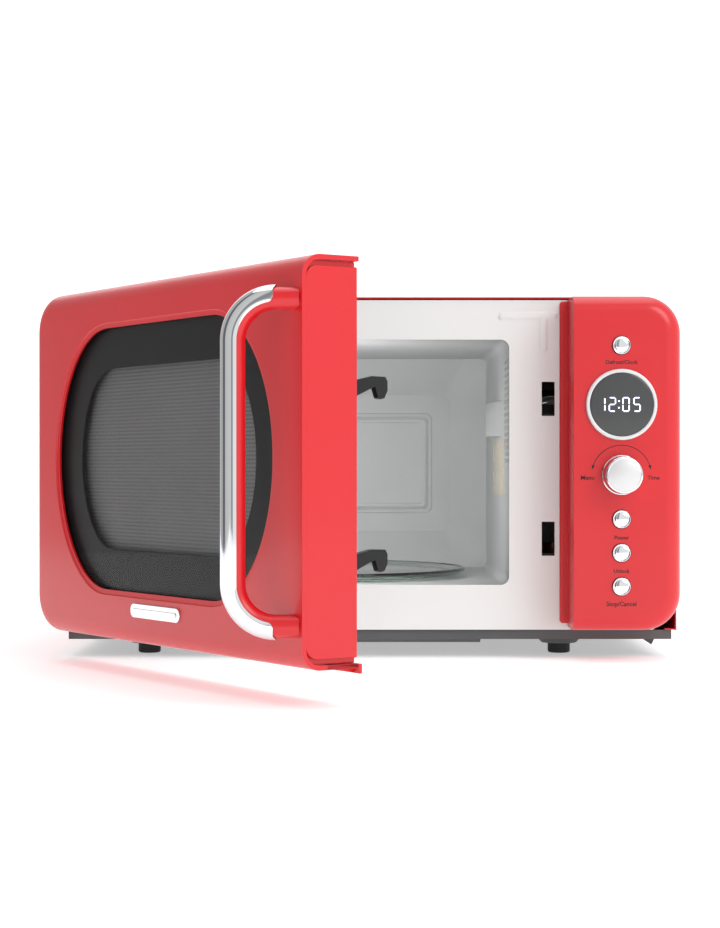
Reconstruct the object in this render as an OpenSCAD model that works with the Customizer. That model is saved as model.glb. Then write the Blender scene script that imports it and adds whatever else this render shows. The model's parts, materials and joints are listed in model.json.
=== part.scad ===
// Countertop microwave oven with a side-hung door, shown with the door standing open.
// The worktop is z = 0, +Z is up and the door opens towards -Y.

/* [Cabinet] */
// Width of the outer case
cabinet_w = 440; // [430:1:540]
// Height from the worktop to the top of the outer case
cabinet_h = 259; // [255:1:330]
// Depth from the front plate to the back of the outer case
cabinet_d = 318; // [312:1:400]
// Radius of the top corners of the outer case
case_corner_r = 26; // [14:1:30]
// Thickness of the painted case sheet
case_t = 1.0; // [0.8:0.1:1.2]
// Height of the lower edge of the outer case
case_z0 = 20; // [19:0.5:22]
// How far the case edge stands in front of the front plate
case_lip = 1.2; // [0.4:0.1:1.6]
// Thickness of the front plate and of the other steel sheets
sheet_t = 0.8; // [0.6:0.1:1]
// Thickness of the base pan
base_t = 1.0; // [0.8:0.1:1.4]
// Underside of the flat part of the base pan
base_z = 13.2; // [12.5:0.1:14]

/* [Feet] */
// Diameter of a foot
foot_d = 16.5; // [14:0.5:20]
// Height of a foot below its boss
foot_h = 7.5; // [6:0.5:9]
// Distance of the front feet behind the front plate
foot_front_y = 45; // [35:1:70]
// Distance of the rear feet in front of the back
foot_rear_y = 45; // [35:1:70]
// Distance of the left feet from the left side
foot_left_x = 57; // [40:1:80]
// Distance of the right feet from the right side
foot_right_x = 80; // [40:1:90]

/* [Oven cavity] */
// Width of the cavity opening
cavity_w = 300; // [280:1:304]
// Height of the cavity opening
cavity_h = 176.2; // [165:0.1:178]
// Depth of the cavity behind the front plate
cavity_d = 288; // [280:1:290]
// Left edge of the opening from the left side of the case
cavity_side = 20; // [18:1:24]
// Lower edge of the opening above the worktop
cavity_z0 = 52.4; // [50:0.1:54]
// Lip of the front plate over the edge of the liner
cavity_lip = 1.0; // [0.6:0.1:1.4]
// Corner radius of the opening
cavity_r = 6; // [4:0.5:9]
// Depth of the dished part of the back wall
dish_d = 13; // [8:1:16]
// Depth of the round well under the glass tray
well_d = 12; // [11:0.5:13]
// Radius of the well
well_r = 104; // [98:1:108]

/* [Turntable] */
// Diameter of the glass tray
tray_d = 252; // [236:1:262]
// Thickness of the glass tray
tray_t = 4; // [3:0.5:5]
// Height of the tray from its flat underside to its rim
tray_h = 6.5; // [5.5:0.5:9]
// Distance of the turntable axis behind the front plate
tray_y = 147.5; // [142:0.5:149]
// Radius of the path that the wheels run on
wheel_path_r = 88; // [80:1:90]
// Width of a roller wheel
wheel_w = 6; // [5:0.5:7]
// Axle diameter of a roller wheel
axle_d = 3; // [2.5:0.5:4]
// Gap between a wheel and what it runs on
wheel_gap = 0.3; // [0.2:0.1:0.5]

/* [Door] */
// Distance from the front plate to the front face of the door
door_front = 41; // [38:0.5:45]
// Gap between the closed door and the front plate
door_back_gap = 3; // [2.5:0.1:3.5]
// Gap between the closed door and the control panel
door_gap = 1.5; // [1:0.1:2.5]
// Wall thickness of the door shell and of the control panel
shell_t = 2.8; // [2.2:0.1:3.2]
// Radius of the rolled front edges
roll_r = 12; // [8:0.5:14]
// Lower edge of the door and of the control panel
fascia_z0 = 22.3; // [21.5:0.1:24]
// How far the top of the door lies below the top of the case
fascia_drop = 1.8; // [1.6:0.1:3]
// Distance of the hinge axis from the left side of the door
hinge_inset = 11; // [9.5:0.1:12.5]
// Diameter of a hinge pin
hinge_pin_d = 6; // [5:0.5:7]
// Angle at which the door stands open
open_angle = 56.5; // [0:0.5:100]

/* [Window] */
// Margin from the hinge side of the door to the window
window_left = 40; // [36:1:50]
// Margin from the free side of the door to the window
window_right = 34.5; // [30:0.5:44]
// Margin above the window
window_top = 28.2; // [26:0.1:40]
// Margin below the window
window_bottom = 33.7; // [32:0.1:44]
// Length of the curved ends of the window
window_end = 72; // [40:1:80]
// Width of the dark border printed round the clear part
window_border = 26.5; // [20:0.5:32]
// Thickness of the door glass
glass_t = 3; // [2.5:0.1:3.2]

/* [Handle] */
// Diameter of the moulded handle core
handle_core_d = 13; // [11:0.5:15]
// Thickness of the chrome cover on the handle
handle_cover_t = 1.5; // [1:0.1:2]
// Distance of the handle bar's axis from the free side of the door
handle_inset = 29.5; // [28:0.5:36]
// Distance of the handle feet from the free side of the door
handle_foot_inset = 9.8; // [9.4:0.1:14]
// Height of the handle bar's axis above the door face
handle_stand = 27; // [24:0.5:36]
// Distance of the handle ends from the top and bottom of the door
handle_margin = 25; // [22:0.5:40]
// Radius of the handle's bends
handle_bend_r = 24; // [18:1:28]

/* [Latch] */
// Distance of the latch hooks from the free side of the door
latch_inset = 12.5; // [12:0.1:13]
// Thickness of a latch hook
latch_t = 5; // [4:0.5:5.5]
// Reach of the latch hooks behind the front plate
latch_reach = 24; // [20:1:26]
// Height of the lower hook's tip above the foot of the door
latch_low = 53.5; // [45:0.5:60]
// Height from the lower hook to the upper hook
latch_span = 100.5; // [80:0.5:120]
// Travel of the latch hooks
latch_travel = 5; // [3:0.5:6]

/* [Control panel] */
// Width of the control panel
panel_w = 76; // [70:1:84]
// Distance of the control panel from the right side of the case
panel_inset = 2; // [1.5:0.5:4]
// Width of the lip that the panel carries behind the door
panel_lip_w = 6; // [3:0.5:7]
// Diameter of the display bezel
display_d = 49.8; // [44:0.1:56]
// Height of the display's centre below the top of the panel
display_drop = 76.5; // [72:0.5:84]
// Height of the upper button below the top of the panel
upper_button_drop = 35.2; // [30:0.1:38]
// Height of the knob above the foot of the panel
knob_rise = 109.2; // [106:0.1:115]
// Diameter of the knob
knob_d = 28; // [24:0.5:32]
// Height of the knob in front of the panel
knob_h = 17; // [13:0.5:22]
// Height of the lowest button above the foot of the panel
button_rise = 31.3; // [26:0.1:34]
// Distance between the lower buttons
button_pitch = 23.5; // [20:0.1:24.5]
// Diameter of a button
button_d = 12.5; // [10:0.1:14]
// Gap round a button
button_gap = 0.4; // [0.3:0.05:0.6]
// Travel of a button
button_travel = 1.5; // [1:0.1:1.8]
// Diameter of the knob shaft
knob_shaft_d = 6; // [5:0.5:6.5]

/* [Cooling fan] */
// Diameter of the fan blade
fan_d = 92; // [80:1:95]
// Number of fan blades
fan_blades = 7; // [5:1:9]

/* [Cord inlet] */
// Diameter of the bore that the power cord passes
cord_bore_d = 8; // [7:0.5:10]

/* [Hidden] */
$fn = 64;

// General fits
cut = 1;
slip = 0.3;
running = 0.05;

// Case and front
case_x = cabinet_w / 2;
plate_z0 = case_z0 + 0.2;
rear_flange = 12;
foot_flange = 8;
rear_y = cabinet_d - case_t - sheet_t;
panel_x1 = case_x - panel_inset;
panel_x0 = panel_x1 - panel_w;
fascia_z1 = cabinet_h - fascia_drop;

// Cavity: opening in the front plate, then the inside of the liner
cavity_x0 = -case_x + cavity_side;
cavity_x1 = cavity_x0 + cavity_w;
cavity_z1 = cavity_z0 + cavity_h;
liner_x0 = cavity_x0 - cavity_lip;
liner_x1 = cavity_x1 + cavity_lip;
liner_z0 = cavity_z0 - cavity_lip;
liner_z1 = cavity_z1 + cavity_lip;
liner_flange = 6;
dish_inset = 30;
wall_x = liner_x1 + sheet_t;
tray_x = (cavity_x0 + cavity_x1) / 2;
well_z = liner_z0 - well_d;
wheel_r = (well_d + 0.6 - 2 * wheel_gap) / 2;
wheel_z = well_z + wheel_gap + wheel_r;
tray_z = wheel_z + wheel_r + wheel_gap;

// Right wall of the cavity
port_y0 = 66;
port_y1 = 180;
port_z0 = cavity_z0 + 63;
port_z1 = port_z0 + 42;
guide_x1 = wall_x + 38;
antenna_y = 152;
antenna_z = (port_z0 + port_z1) / 2;
vent_pitch = 4.87;
vent_rows = 16;
vent_h = 2.8;
vent_z0 = port_z0 + 25;
hood_y0 = 85;
hood_y1 = 170;
hood_z0 = port_z1 + 3.5;
hood_z1 = hood_z0 + 27;
hood_out = 7.5;

// Door in its closed place
door_x0 = -case_x;
door_x1 = panel_x0 - door_gap;
door_y0 = -door_front;
door_y1 = -door_back_gap;
door_z0 = fascia_z0;
door_z1 = fascia_z1;
door_corner_r = case_corner_r;
hinge_x = door_x0 + hinge_inset;
hinge_y = -(hinge_inset + case_lip + 0.6);
hinge_t = 2.5;
hinge_side = 1.7;
hinge_w = 2 * (hinge_inset - shell_t - hinge_side);
hinge_gap = 0.8;
// Where the rounded corners of the door leave room for the edge of a finger
hinge_drop = door_corner_r + hinge_gap
    - sqrt(pow(door_corner_r - shell_t, 2) - pow(door_corner_r - shell_t - hinge_side, 2));
finger_z1 = door_z1 - hinge_drop;
finger_z0 = door_z0 + hinge_drop;
side_wall_y = hinge_y + 3.6;
boss_d = hinge_pin_d + 6;
window_x0 = door_x0 + window_left;
window_x1 = door_x1 - window_right;
window_z0 = door_z0 + window_bottom;
window_z1 = door_z1 - window_top;
window_x = (window_x0 + window_x1) / 2;
window_z = (window_z0 + window_z1) / 2;
window_w = window_x1 - window_x0;
window_h = window_z1 - window_z0;
window_ends = 24;
glass_y0 = door_y0 + shell_t + 0.1;
glass_y1 = glass_y0 + glass_t;
frame_y1 = glass_y1 + 2.6;
screen_y0 = frame_y1 + 3;
screen_t = 0.5;
pan_y1 = door_y1 - 3;
pan_y0 = pan_y1 - 1;
pan_t = 1;
pan_x0 = hinge_x - 4;
pan_x1 = door_x1 - 7;
pan_z0 = door_z0 + shell_t + 5.2;
pan_z1 = door_z1 - shell_t - 5.2;
cap_x0 = door_x1 - 4;
cap_x1 = door_x1 - 1;

// Latch
latch_x = door_x1 - latch_inset;
latch_z = door_z0 + latch_low;
latch_bar_y0 = -22;
latch_bar_y1 = -14;
latch_bar_top = latch_z + latch_span + 11;
spring_top = latch_bar_top + 25;
slot_w = latch_t + 4.3;

// Control panel stack, from the front to the back
panel_x = (panel_x0 + panel_x1) / 2 - 4.6;
panel_face = -door_front;
panel_back = panel_face + shell_t;
board_y = -26;
board_t = 1.6;
display_z = fascia_z1 - display_drop;
knob_z = fascia_z0 + knob_rise;
button_zs = [
    fascia_z1 - upper_button_drop,
    fascia_z0 + button_rise + 2 * button_pitch,
    fascia_z0 + button_rise + button_pitch,
    fascia_z0 + button_rise
];
switch_h = 5;
knob_travel = 1.2;

// Component bay
bay_x = wall_x + 60;
fan_z = 150;
fan_y1 = rear_y - 0.2;
shroud_d = 26;
shroud_w = fan_d + 14;
gland_x = case_x - 36;
gland_z = 60;

// Where the middle of the object's outline lies, with the door open
left_reach_x = hinge_x + (roll_r - hinge_inset) * cos(open_angle)
    + (roll_r - door_front - hinge_y) * sin(open_angle) - roll_r;
front_reach_y = hinge_y - (door_x1 - hinge_x) * sin(open_angle)
    - (door_front + hinge_y) * cos(open_angle);
centre_x = (left_reach_x + case_x) / 2;
centre_y = (front_reach_y + cabinet_d + 2) / 2;

// ---- Helpers ----------------------------------------------------------------

// Places a piece drawn about the middle of the front plate
module cabinet() {
    translate([-centre_x, -centre_y, 0]) children();
}

// Places a piece of the door, drawn closed, at the angle the door stands open
module door() {
    cabinet() translate([hinge_x, hinge_y, 0]) rotate([0, 0, -open_angle])
        translate([-hinge_x, -hinge_y, 0]) children();
}

module box(low, high) {
    translate(low) cube(high - low);
}

// Extrusions of an outline drawn in the other two axes
module along_x(a, b) {
    translate([a, 0, 0]) rotate([90, 0, 90]) linear_extrude(b - a) children();
}

module along_y(a, b) {
    translate([0, b, 0]) rotate([90, 0, 0]) linear_extrude(b - a) children();
}

module along_z(a, b) {
    translate([0, 0, a]) linear_extrude(b - a) children();
}

module rod_x(a, b, y, z, r) {
    translate([a, y, z]) rotate([0, 90, 0]) cylinder(h = b - a, r = r);
}

module rod_y(a, b, x, z, r) {
    translate([x, b, z]) rotate([90, 0, 0]) cylinder(h = b - a, r = r);
}

module rod_z(a, b, x, y, r) {
    translate([x, y, a]) cylinder(h = b - a, r = r);
}

// Rectangle with a radius on each corner, in the order ll, lr, ur, ul
module rounded(low, high, r) {
    difference() {
        translate(low) square(high - low);
        corner(low, [1, 1], r[0]);
        corner([high[0], low[1]], [-1, 1], r[1]);
        corner(high, [-1, -1], r[2]);
        corner([low[0], high[1]], [1, -1], r[3]);
    }
}

module corner(p, way, r) {
    if (r > 0) difference() {
        translate([min(p[0] - way[0], p[0] + way[0] * r), min(p[1] - way[1], p[1] + way[1] * r)])
            square(r + 1);
        translate([p[0] + way[0] * r, p[1] + way[1] * r]) circle(r = r);
    }
}

// Outline with straight top and bottom and half-ellipse ends
function barrel(w, h, e) = [
    for (side = [1, -1])
        for (i = [0 : window_ends])
            let (a = side * 90 - i * 180 / window_ends)
                [side * (w / 2 - e + e * abs(cos(a))), side * h / 2 * sin(a) * side]
];

module window_outline(grow) {
    translate([window_x, window_z])
        polygon(barrel(window_w + 2 * grow, window_h + 2 * grow, window_end + grow));
}

// Screw whose head stands on y = 0 and whose shank runs along +y
module screw(head_d, head_h, shank_d, shank_l) {
    difference() {
        rod_y(-head_h, 0, 0, 0, head_d / 2);
        box([-head_d / 4, -head_h - cut, -0.5], [head_d / 4, -head_h * 0.5, 0.5]);
        box([-0.5, -head_h - cut, -head_d / 4], [0.5, -head_h * 0.5, head_d / 4]);
    }
    rod_y(0, shank_l, 0, 0, shank_d / 2);
}

// ---- Cabinet ----------------------------------------------------------------

module case_outline(inset) {
    rounded([-case_x + inset, case_z0 + inset], [case_x - inset, cabinet_h - inset],
        [0, 0, case_corner_r - inset, case_corner_r - inset]);
}

// Places of the screws that hold the case to the rear panel
rear_screws = [
    for (side = [-1, 1]) for (z = [60, cabinet_h - 45]) [side * (case_x - 6.5), z],
    for (x = [-120, 120]) [x, cabinet_h - 6.5]
];

module outer_cabinet() color("firebrick") cabinet() difference() {
    along_y(-case_lip, cabinet_d) case_outline(0);
    along_y(-case_lip - cut, cabinet_d - case_t) case_outline(case_t);
    along_y(cabinet_d - case_t - cut, cabinet_d + cut) rounded(
        [-case_x + rear_flange, case_z0 - cut], [case_x - rear_flange, cabinet_h - rear_flange],
        [0, 0, case_corner_r / 2, case_corner_r / 2]);
    // Open underneath, between flanges turned in under the sides behind the front plate
    box([-case_x + foot_flange, -case_lip - cut, case_z0 - cut],
        [case_x - foot_flange, cabinet_d + cut, case_z0 + case_t + cut]);
    box([-case_x + case_t, -case_lip - cut, case_z0 - cut],
        [case_x - case_t, 2 * sheet_t, case_z0 + case_t + cut]);
    // Air slots, low on the right side and high on the left
    for (i = [0 : 8]) {
        box([case_x - 3, 225, 70 + 9 * i], [case_x + cut, 285, 73 + 9 * i]);
        box([-case_x - cut, 215, 120 + 9 * i], [-case_x + 3, 275, 123 + 9 * i]);
    }
    for (p = rear_screws) rod_y(cabinet_d - 3, cabinet_d + cut, p[0], p[1], 2.1);
}

module rear_panel() color("dimgray") cabinet() difference() {
    union() {
        along_y(rear_y, rear_y + sheet_t) case_outline(case_t + 0.2);
        along_y(rear_y - 8, rear_y) difference() {
            case_outline(case_t + 0.2);
            case_outline(case_t + 0.2 + sheet_t);
        }
    }
    box([-case_x, rear_y - 10, case_z0 - cut], [case_x, rear_y + 2, case_z0 + 1.4]);
    // Air inlet in front of the fan
    intersection() {
        for (i = [-6 : 6]) box([bay_x - 50, rear_y - cut, fan_z + 7 * i - 1.6],
            [bay_x + 50, rear_y + 2, fan_z + 7 * i + 1.6]);
        rod_y(rear_y - 2, rear_y + 3, bay_x, fan_z, fan_d / 2 - 2);
    }
    // Air outlet behind the cavity
    for (i = [0 : 9]) for (j = [0 : 1]) box([-150 + 12 * i, rear_y - cut, 170 + 30 * j],
        [-146 + 12 * i, rear_y + 2, 192 + 30 * j]);
    for (p = rear_screws) rod_y(rear_y - 2, rear_y + 3, p[0], p[1], 1.7);
    rod_y(rear_y - 2, rear_y + 3, gland_x, gland_z, gland_hole_r);
}

feet_at = [
    for (x = [-case_x + foot_left_x, case_x - foot_right_x])
        for (y = [foot_front_y, cabinet_d - foot_rear_y]) [x, y]
];
foot_hole_d = 6.4;

module foot_boss(z0, shrink) {
    for (p = feet_at) translate([p[0], p[1], z0])
        cylinder(h = base_z - foot_h + base_t, r1 = foot_d / 2 + 4.5 - shrink,
            r2 = foot_d / 2 + 11 - shrink);
}

module base_plate() color("dimgray") cabinet() difference() {
    union() {
        box([-case_x + 3, 3, base_z], [case_x - 3, rear_y - 8.5, case_z0 - 0.1]);
        along_x(-case_x + 70, cavity_x1 - 20) polygon([[10, base_z], [15, base_z - 3.2],
            [236, base_z - 3.2], [241, base_z]]);
        foot_boss(foot_h, 0);
        // Pressed drip rib near the right side
        along_y(40, 62) polygon([[case_x - 24, base_z + base_t], [case_x - 12, 6],
            [case_x - 8, base_z + base_t]]);
    }
    box([-case_x + 3 + base_t, 3 + base_t, base_z + base_t],
        [case_x - 3 - base_t, rear_y - 8.5 - base_t, case_z0 + cut]);
    along_x(-case_x + 70 + base_t, cavity_x1 - 20 - base_t)
        polygon([[10 + base_t, base_z + base_t + 0.1],
        [15 + base_t, base_z - 3.2 + base_t], [236 - base_t, base_z - 3.2 + base_t],
        [241 - base_t, base_z + base_t + 0.1]]);
    foot_boss(foot_h + base_t, base_t);
    for (p = feet_at) rod_z(0, base_z, p[0], p[1], foot_hole_d / 2);
    // Air slots under the transformer
    for (i = [0 : 7]) box([wall_x + 30 + 9 * i, 150, base_z - cut],
        [wall_x + 33 + 9 * i, 190, base_z + 2]);
}

module feet() color("black") cabinet() for (p = feet_at) translate([p[0], p[1], 0]) {
    difference() {
        union() {
            cylinder(h = 1, r1 = foot_d / 2 - 1, r2 = foot_d / 2);
            translate([0, 0, 1]) cylinder(h = foot_h - 1, r = foot_d / 2);
        }
        translate([0, 0, -cut]) cylinder(h = cut + 1.5, r = foot_d / 4);
    }
    // Stem and barbed head that hold the foot in its boss
    translate([0, 0, foot_h]) cylinder(h = base_t, r = foot_hole_d / 2 - 0.1);
    translate([0, 0, foot_h + base_t]) cylinder(h = 2.4, r1 = foot_hole_d / 2 + 0.9,
        r2 = foot_hole_d / 2 - 1);
}

module front_plate() color("whitesmoke") cabinet() difference() {
    union() {
        along_y(0, sheet_t) rounded([-case_x + 2.6, plate_z0], [case_x - 2.6, cabinet_h - case_t - 1],
            [2, 2, case_corner_r - 2.6, case_corner_r - 2.6]);
        // Stiffening rib pressed above the latch side of the opening
        along_y(-0.8, 0) {
            translate([cavity_x1 - 8, cavity_z1 + 14]) rounded([0, 0], [41.5, 4.5], [1, 1, 1, 1] * 2.2);
            translate([cavity_x1 + 21, cavity_z1 - 7.5]) rounded([0, 0], [5, 25], [1, 1, 1, 1] * 2.4);
        }
    }
    along_y(-cut, sheet_t + cut) {
        rounded([cavity_x0, cavity_z0], [cavity_x1, cavity_z1], [1, 1, 1, 1] * cavity_r);
        for (k = [0, 1]) translate([latch_x - slot_w / 2, latch_z + k * latch_span - 2.5])
            square([slot_w, 24.5]);
        // Opening for the wiring of the control panel
        translate([panel_x0 + 10, fascia_z0 + 16]) square([panel_w - 20, fascia_z1 - fascia_z0 - 32]);
        for (z = [finger_z0, finger_z1 - hinge_t]) translate([hinge_x - hinge_w / 2 - slip, z - slip])
            square([hinge_w + 2 * slip, hinge_t + 2 * slip]);
        for (z = hinge_screw_zs) translate([hinge_x, z]) circle(r = 1.7);
    }
}

// ---- Hinges -----------------------------------------------------------------

bracket_h = 16;
hinge_screw_zs = [finger_z0 + 9, finger_z1 - 9];

// Finger plate, folded flange behind the front plate and riveted pin; way = 1 has the pin upwards
module hinge_bracket(z, way) color("silver") cabinet() difference() {
    union() {
        box([hinge_x - hinge_w / 2, hinge_y, z], [hinge_x + hinge_w / 2, 2 * sheet_t + 0.1,
            z + hinge_t]);
        rod_z(z, z + hinge_t, hinge_x, hinge_y, hinge_w / 2);
        // Flange behind the front plate, stepped over the flange of the liner
        translate([0, 0, way > 0 ? z : z + hinge_t - bracket_h]) {
            box([hinge_x - hinge_w / 2, 2 * sheet_t, 0],
                [hinge_x + hinge_w / 2, 2 * sheet_t + hinge_t, bracket_h]);
            box([hinge_x - hinge_w / 2, sheet_t, 0], [liner_x0 - liner_flange - slip,
                2 * sheet_t + 0.1, bracket_h]);
        }
        rod_z(way > 0 ? z : z - 12, way > 0 ? z + hinge_t + 12 : z + hinge_t, hinge_x, hinge_y,
            hinge_pin_d / 2);
    }
    for (s = hinge_screw_zs) rod_y(sheet_t - cut, 2 * sheet_t + hinge_t + cut, hinge_x, s, 1.4);
}

module upper_hinge() hinge_bracket(finger_z1 - hinge_t, -1);

module lower_hinge() hinge_bracket(finger_z0, 1);

// ---- Cavity -----------------------------------------------------------------

// Box of the cavity with its dished back wall and round well, grown outwards by t
module cavity_space(t) {
    along_y(sheet_t - (t > 0 ? 0 : cut), cavity_d - dish_d + t)
        rounded([liner_x0 - t, liner_z0 - t], [liner_x1 + t, liner_z1 + t],
            [1, 1, 1, 1] * (cavity_r + t));
    intersection() {
        along_z(liner_z0 - t, liner_z1 + t) polygon([
            [liner_x0 + 2 - t, cavity_d - dish_d - cut], [liner_x1 - 2 + t, cavity_d - dish_d - cut],
            [liner_x1 - 2 + t, cavity_d - dish_d + t], [liner_x1 - dish_inset + t, cavity_d + t],
            [liner_x0 + dish_inset - t, cavity_d + t], [liner_x0 + 2 - t, cavity_d - dish_d + t]]);
        along_x(liner_x0 - t, liner_x1 + t) polygon([
            [cavity_d - dish_d - cut, liner_z0 + 2 - t], [cavity_d - dish_d + t, liner_z0 + 2 - t],
            [cavity_d + t, liner_z0 + dish_inset - t], [cavity_d + t, liner_z1 - dish_inset + t],
            [cavity_d - dish_d + t, liner_z1 - 2 + t], [cavity_d - dish_d - cut, liner_z1 - 2 + t]]);
    }
    rod_z(well_z - t, liner_z0 + 2, tray_x, tray_y, well_r + t);
}

module cavity_liner() color("darkgray") cabinet() difference() {
    union() {
        difference() {
            cavity_space(sheet_t);
            cavity_space(0);
        }
        // Flange that is welded to the front plate
        along_y(sheet_t, 2 * sheet_t) difference() {
            rounded([liner_x0 - liner_flange, liner_z0 - liner_flange],
                [liner_x1 + liner_flange, liner_z1 + liner_flange], [1, 1, 1, 1] * cavity_r);
            rounded([liner_x0, liner_z0], [liner_x1, liner_z1], [1, 1, 1, 1] * cavity_r);
        }
        // Lamp hood pressed out of the right wall
        along_z(hood_z0, hood_z1) polygon([[liner_x1 + sheet_t, hood_y0 - 2], [liner_x1, hood_y0 - 2],
            [liner_x1 - hood_out, hood_y1], [liner_x1, hood_y1 + 3],
                [liner_x1 + sheet_t, hood_y1 + 3]]);
        // Bead on the back wall
        along_y(cavity_d - 1.5, cavity_d) difference() {
            rounded([liner_x0 + 45, liner_z0 + 48], [liner_x1 - 45, liner_z1 - 48], [4, 4, 4, 4]);
            rounded([liner_x0 + 49, liner_z0 + 52], [liner_x1 - 49, liner_z1 - 52], [2, 2, 2, 2]);
        }
    }
    rod_z(well_z - 2, well_z + 2, tray_x, tray_y, 6.5);
    box([liner_x1 - cut, port_y0 + 6, port_z0 + 3], [wall_x + cut, port_y1 - 6, port_z1 - 3]);
    along_z(hood_z0 + sheet_t, hood_z1 - sheet_t) polygon([[wall_x + cut, hood_y0 + 4],
        [liner_x1 - 0.4, hood_y0 + 4], [liner_x1 - hood_out + 1, hood_y1 - 1],
            [wall_x + cut, hood_y1 - 1]]);
    for (row = [0 : vent_rows - 1]) for (y = [12, 23, 42, 53])
        box([liner_x1 - cut, y, vent_z0 + row * vent_pitch],
            [wall_x + cut, y + 8, vent_z0 + row * vent_pitch + vent_h]);
}

module waveguide_cover() color("burlywood") cabinet() difference() {
    box([liner_x1 - 0.5, port_y0 - 3, port_z0], [liner_x1, port_y1 + 3, port_z1]);
    for (z = [port_z0 + 8, port_z0 + 26]) box([liner_x1 - cut, port_y1 - 14, z],
        [liner_x1 + cut, port_y1 - 2, z + 10.5]);
}

module waveguide() color("silver") cabinet() difference() {
    union() {
        box([wall_x, port_y0 + 2, port_z0], [guide_x1, port_y1 + 10, port_z1]);
        box([wall_x, port_y0 - 6, port_z0], [wall_x + sheet_t, port_y1 + 20, port_z1]);
    }
    box([wall_x - cut, port_y0 + 2 + sheet_t, port_z0 + sheet_t],
        [guide_x1 - sheet_t, port_y1 + 10 - sheet_t, port_z1 - sheet_t]);
    rod_x(guide_x1 - 3, guide_x1 + 3, antenna_y, antenna_z, 11);
}

module magnetron() color("lightsteelblue") cabinet() {
    x0 = guide_x1;
    y0 = antenna_y - 42;
    z0 = antenna_z - 38;
    difference() {
        union() {
            box([x0 + 0.8, y0, z0], [x0 + 54, y0 + 84, z0 + 76]);
            box([x0, y0 - 8, z0 + 12], [x0 + 0.8, y0 + 92, z0 + 64]);
        }
        box([x0 + 2.4, y0 - cut, z0 + 1.6], [x0 + 52.4, y0 + 84 + cut, z0 + 74.4]);
        rod_x(x0 - cut, x0 + 3, antenna_y, antenna_z, 9);
    }
    // Antenna and its mesh gasket
    rod_x(x0 - 18, x0 + 12, antenna_y, antenna_z, 7.5);
    rod_x(x0, x0 + 0.8, antenna_y, antenna_z, 9);
    // Magnets, anode and cooling fins
    rod_x(x0 + 2.2, x0 + 11, antenna_y, antenna_z, 27);
    rod_x(x0 + 44, x0 + 52.6, antenna_y, antenna_z, 27);
    rod_x(x0 + 10.8, x0 + 44.2, antenna_y, antenna_z, 19);
    for (i = [0 : 7]) box([x0 + 13.5 + 4 * i, y0 + 3, z0 + 1.4],
        [x0 + 14.3 + 4 * i, y0 + 81, z0 + 74.6]);
    // Filter box with its feed-through
    box([x0 + 53.8, y0 + 10, z0 + 8], [x0 + 71, y0 + 74, z0 + 68]);
    box([x0 + 58, y0 - 6, z0 + 26], [x0 + 68, y0 + 10.2, z0 + 48]);
}

module air_duct() color("gainsboro") cabinet() difference() {
    box([wall_x, 6, vent_z0 - 6], [wall_x + 14, 78, vent_z0 + vent_rows * vent_pitch + 6]);
    box([wall_x - cut, 7.2, vent_z0 - 4.8], [wall_x + 12.8, 78 + cut,
        vent_z0 + vent_rows * vent_pitch + 4.8]);
    // Clear of the waveguide's flange
    box([wall_x - cut, port_y0 - 8, 0], [wall_x + 15, 80, port_z1 + 1]);
}

module lamp_holder() color("ivory") cabinet() difference() {
    box([wall_x, hood_y0 + 6, hood_z0 - 1], [wall_x + 30, hood_y1 - 30, hood_z1 + 1]);
    box([wall_x - cut, hood_y0 + 8, hood_z0 + 1], [wall_x + 28, hood_y1 - 32, hood_z1 - 1]);
    rod_y(hood_y1 - 34, hood_y1 - 28, wall_x + 13, (hood_z0 + hood_z1) / 2, 7.1);
}

module cavity_lamp() color("lightyellow") cabinet() {
    z = (hood_z0 + hood_z1) / 2;
    rod_y(hood_y1 - 36, hood_y1 - 22, wall_x + 13, z, 7);
    translate([wall_x + 13, hood_y1 - 48, z]) sphere(r = 9);
    rod_y(hood_y1 - 48, hood_y1 - 36, wall_x + 13, z, 6);
}

// ---- Power parts ------------------------------------------------------------

core_x0 = wall_x + 11;
core_y0 = 66;
core_z0 = base_z + base_t + 2.8;
core_size = [96, 62, 80];
core_screws = [for (x = [6, 90]) for (y = [-6.5, 68.5]) [core_x0 + x, core_y0 + y]];

module transformer_core() color("slategray") cabinet() difference() {
    union() {
        box([core_x0, core_y0, core_z0 - 0.1], [core_x0, core_y0, core_z0] + core_size);
        box([core_x0 - 4, core_y0 - 12, core_z0 - 2.8], [core_x0 + 100, core_y0 + 74, core_z0]);
    }
    for (x = [16, 64]) box([core_x0 + x, core_y0 - cut, core_z0 + 16],
        [core_x0 + x + 16, core_y0 + 63, core_z0 + 64]);
    for (p = core_screws) rod_z(core_z0 - 4, core_z0 + cut, p[0], p[1], 2.2);
}

module transformer_windings() color("peru") cabinet() difference() {
    for (z = [16.3, 41.3]) along_z(core_z0 + z, core_z0 + z + 22.4)
        rounded([core_x0 + 16.3, core_y0 - 13], [core_x0 + 79.7, core_y0 + 75], [8, 8, 8, 8]);
    box([core_x0 + 31.7, core_y0 - 0.3, core_z0], [core_x0 + 64.3, core_y0 + 62.3, core_z0 + 80]);
}

can_x = wall_x + 78;
can_z = base_z + base_t + 18;

module can(a, b, grow) {
    along_y(a, b) {
        for (side = [-1, 1]) translate([can_x + side * 9.5, can_z]) circle(r = 16.5 + grow);
        translate([can_x - 9.5, can_z - 16.5 - grow]) square([19, 33 + 2 * grow]);
    }
}

module capacitor() color("lightgray") cabinet() {
    can(152, 247, 0);
    for (x = [-9, 9]) {
        rod_y(148, 152, can_x + x, can_z, 5);
        box([can_x + x - 3, 141, can_z - 0.5], [can_x + x + 3, 148, can_z + 0.5]);
    }
}

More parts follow.
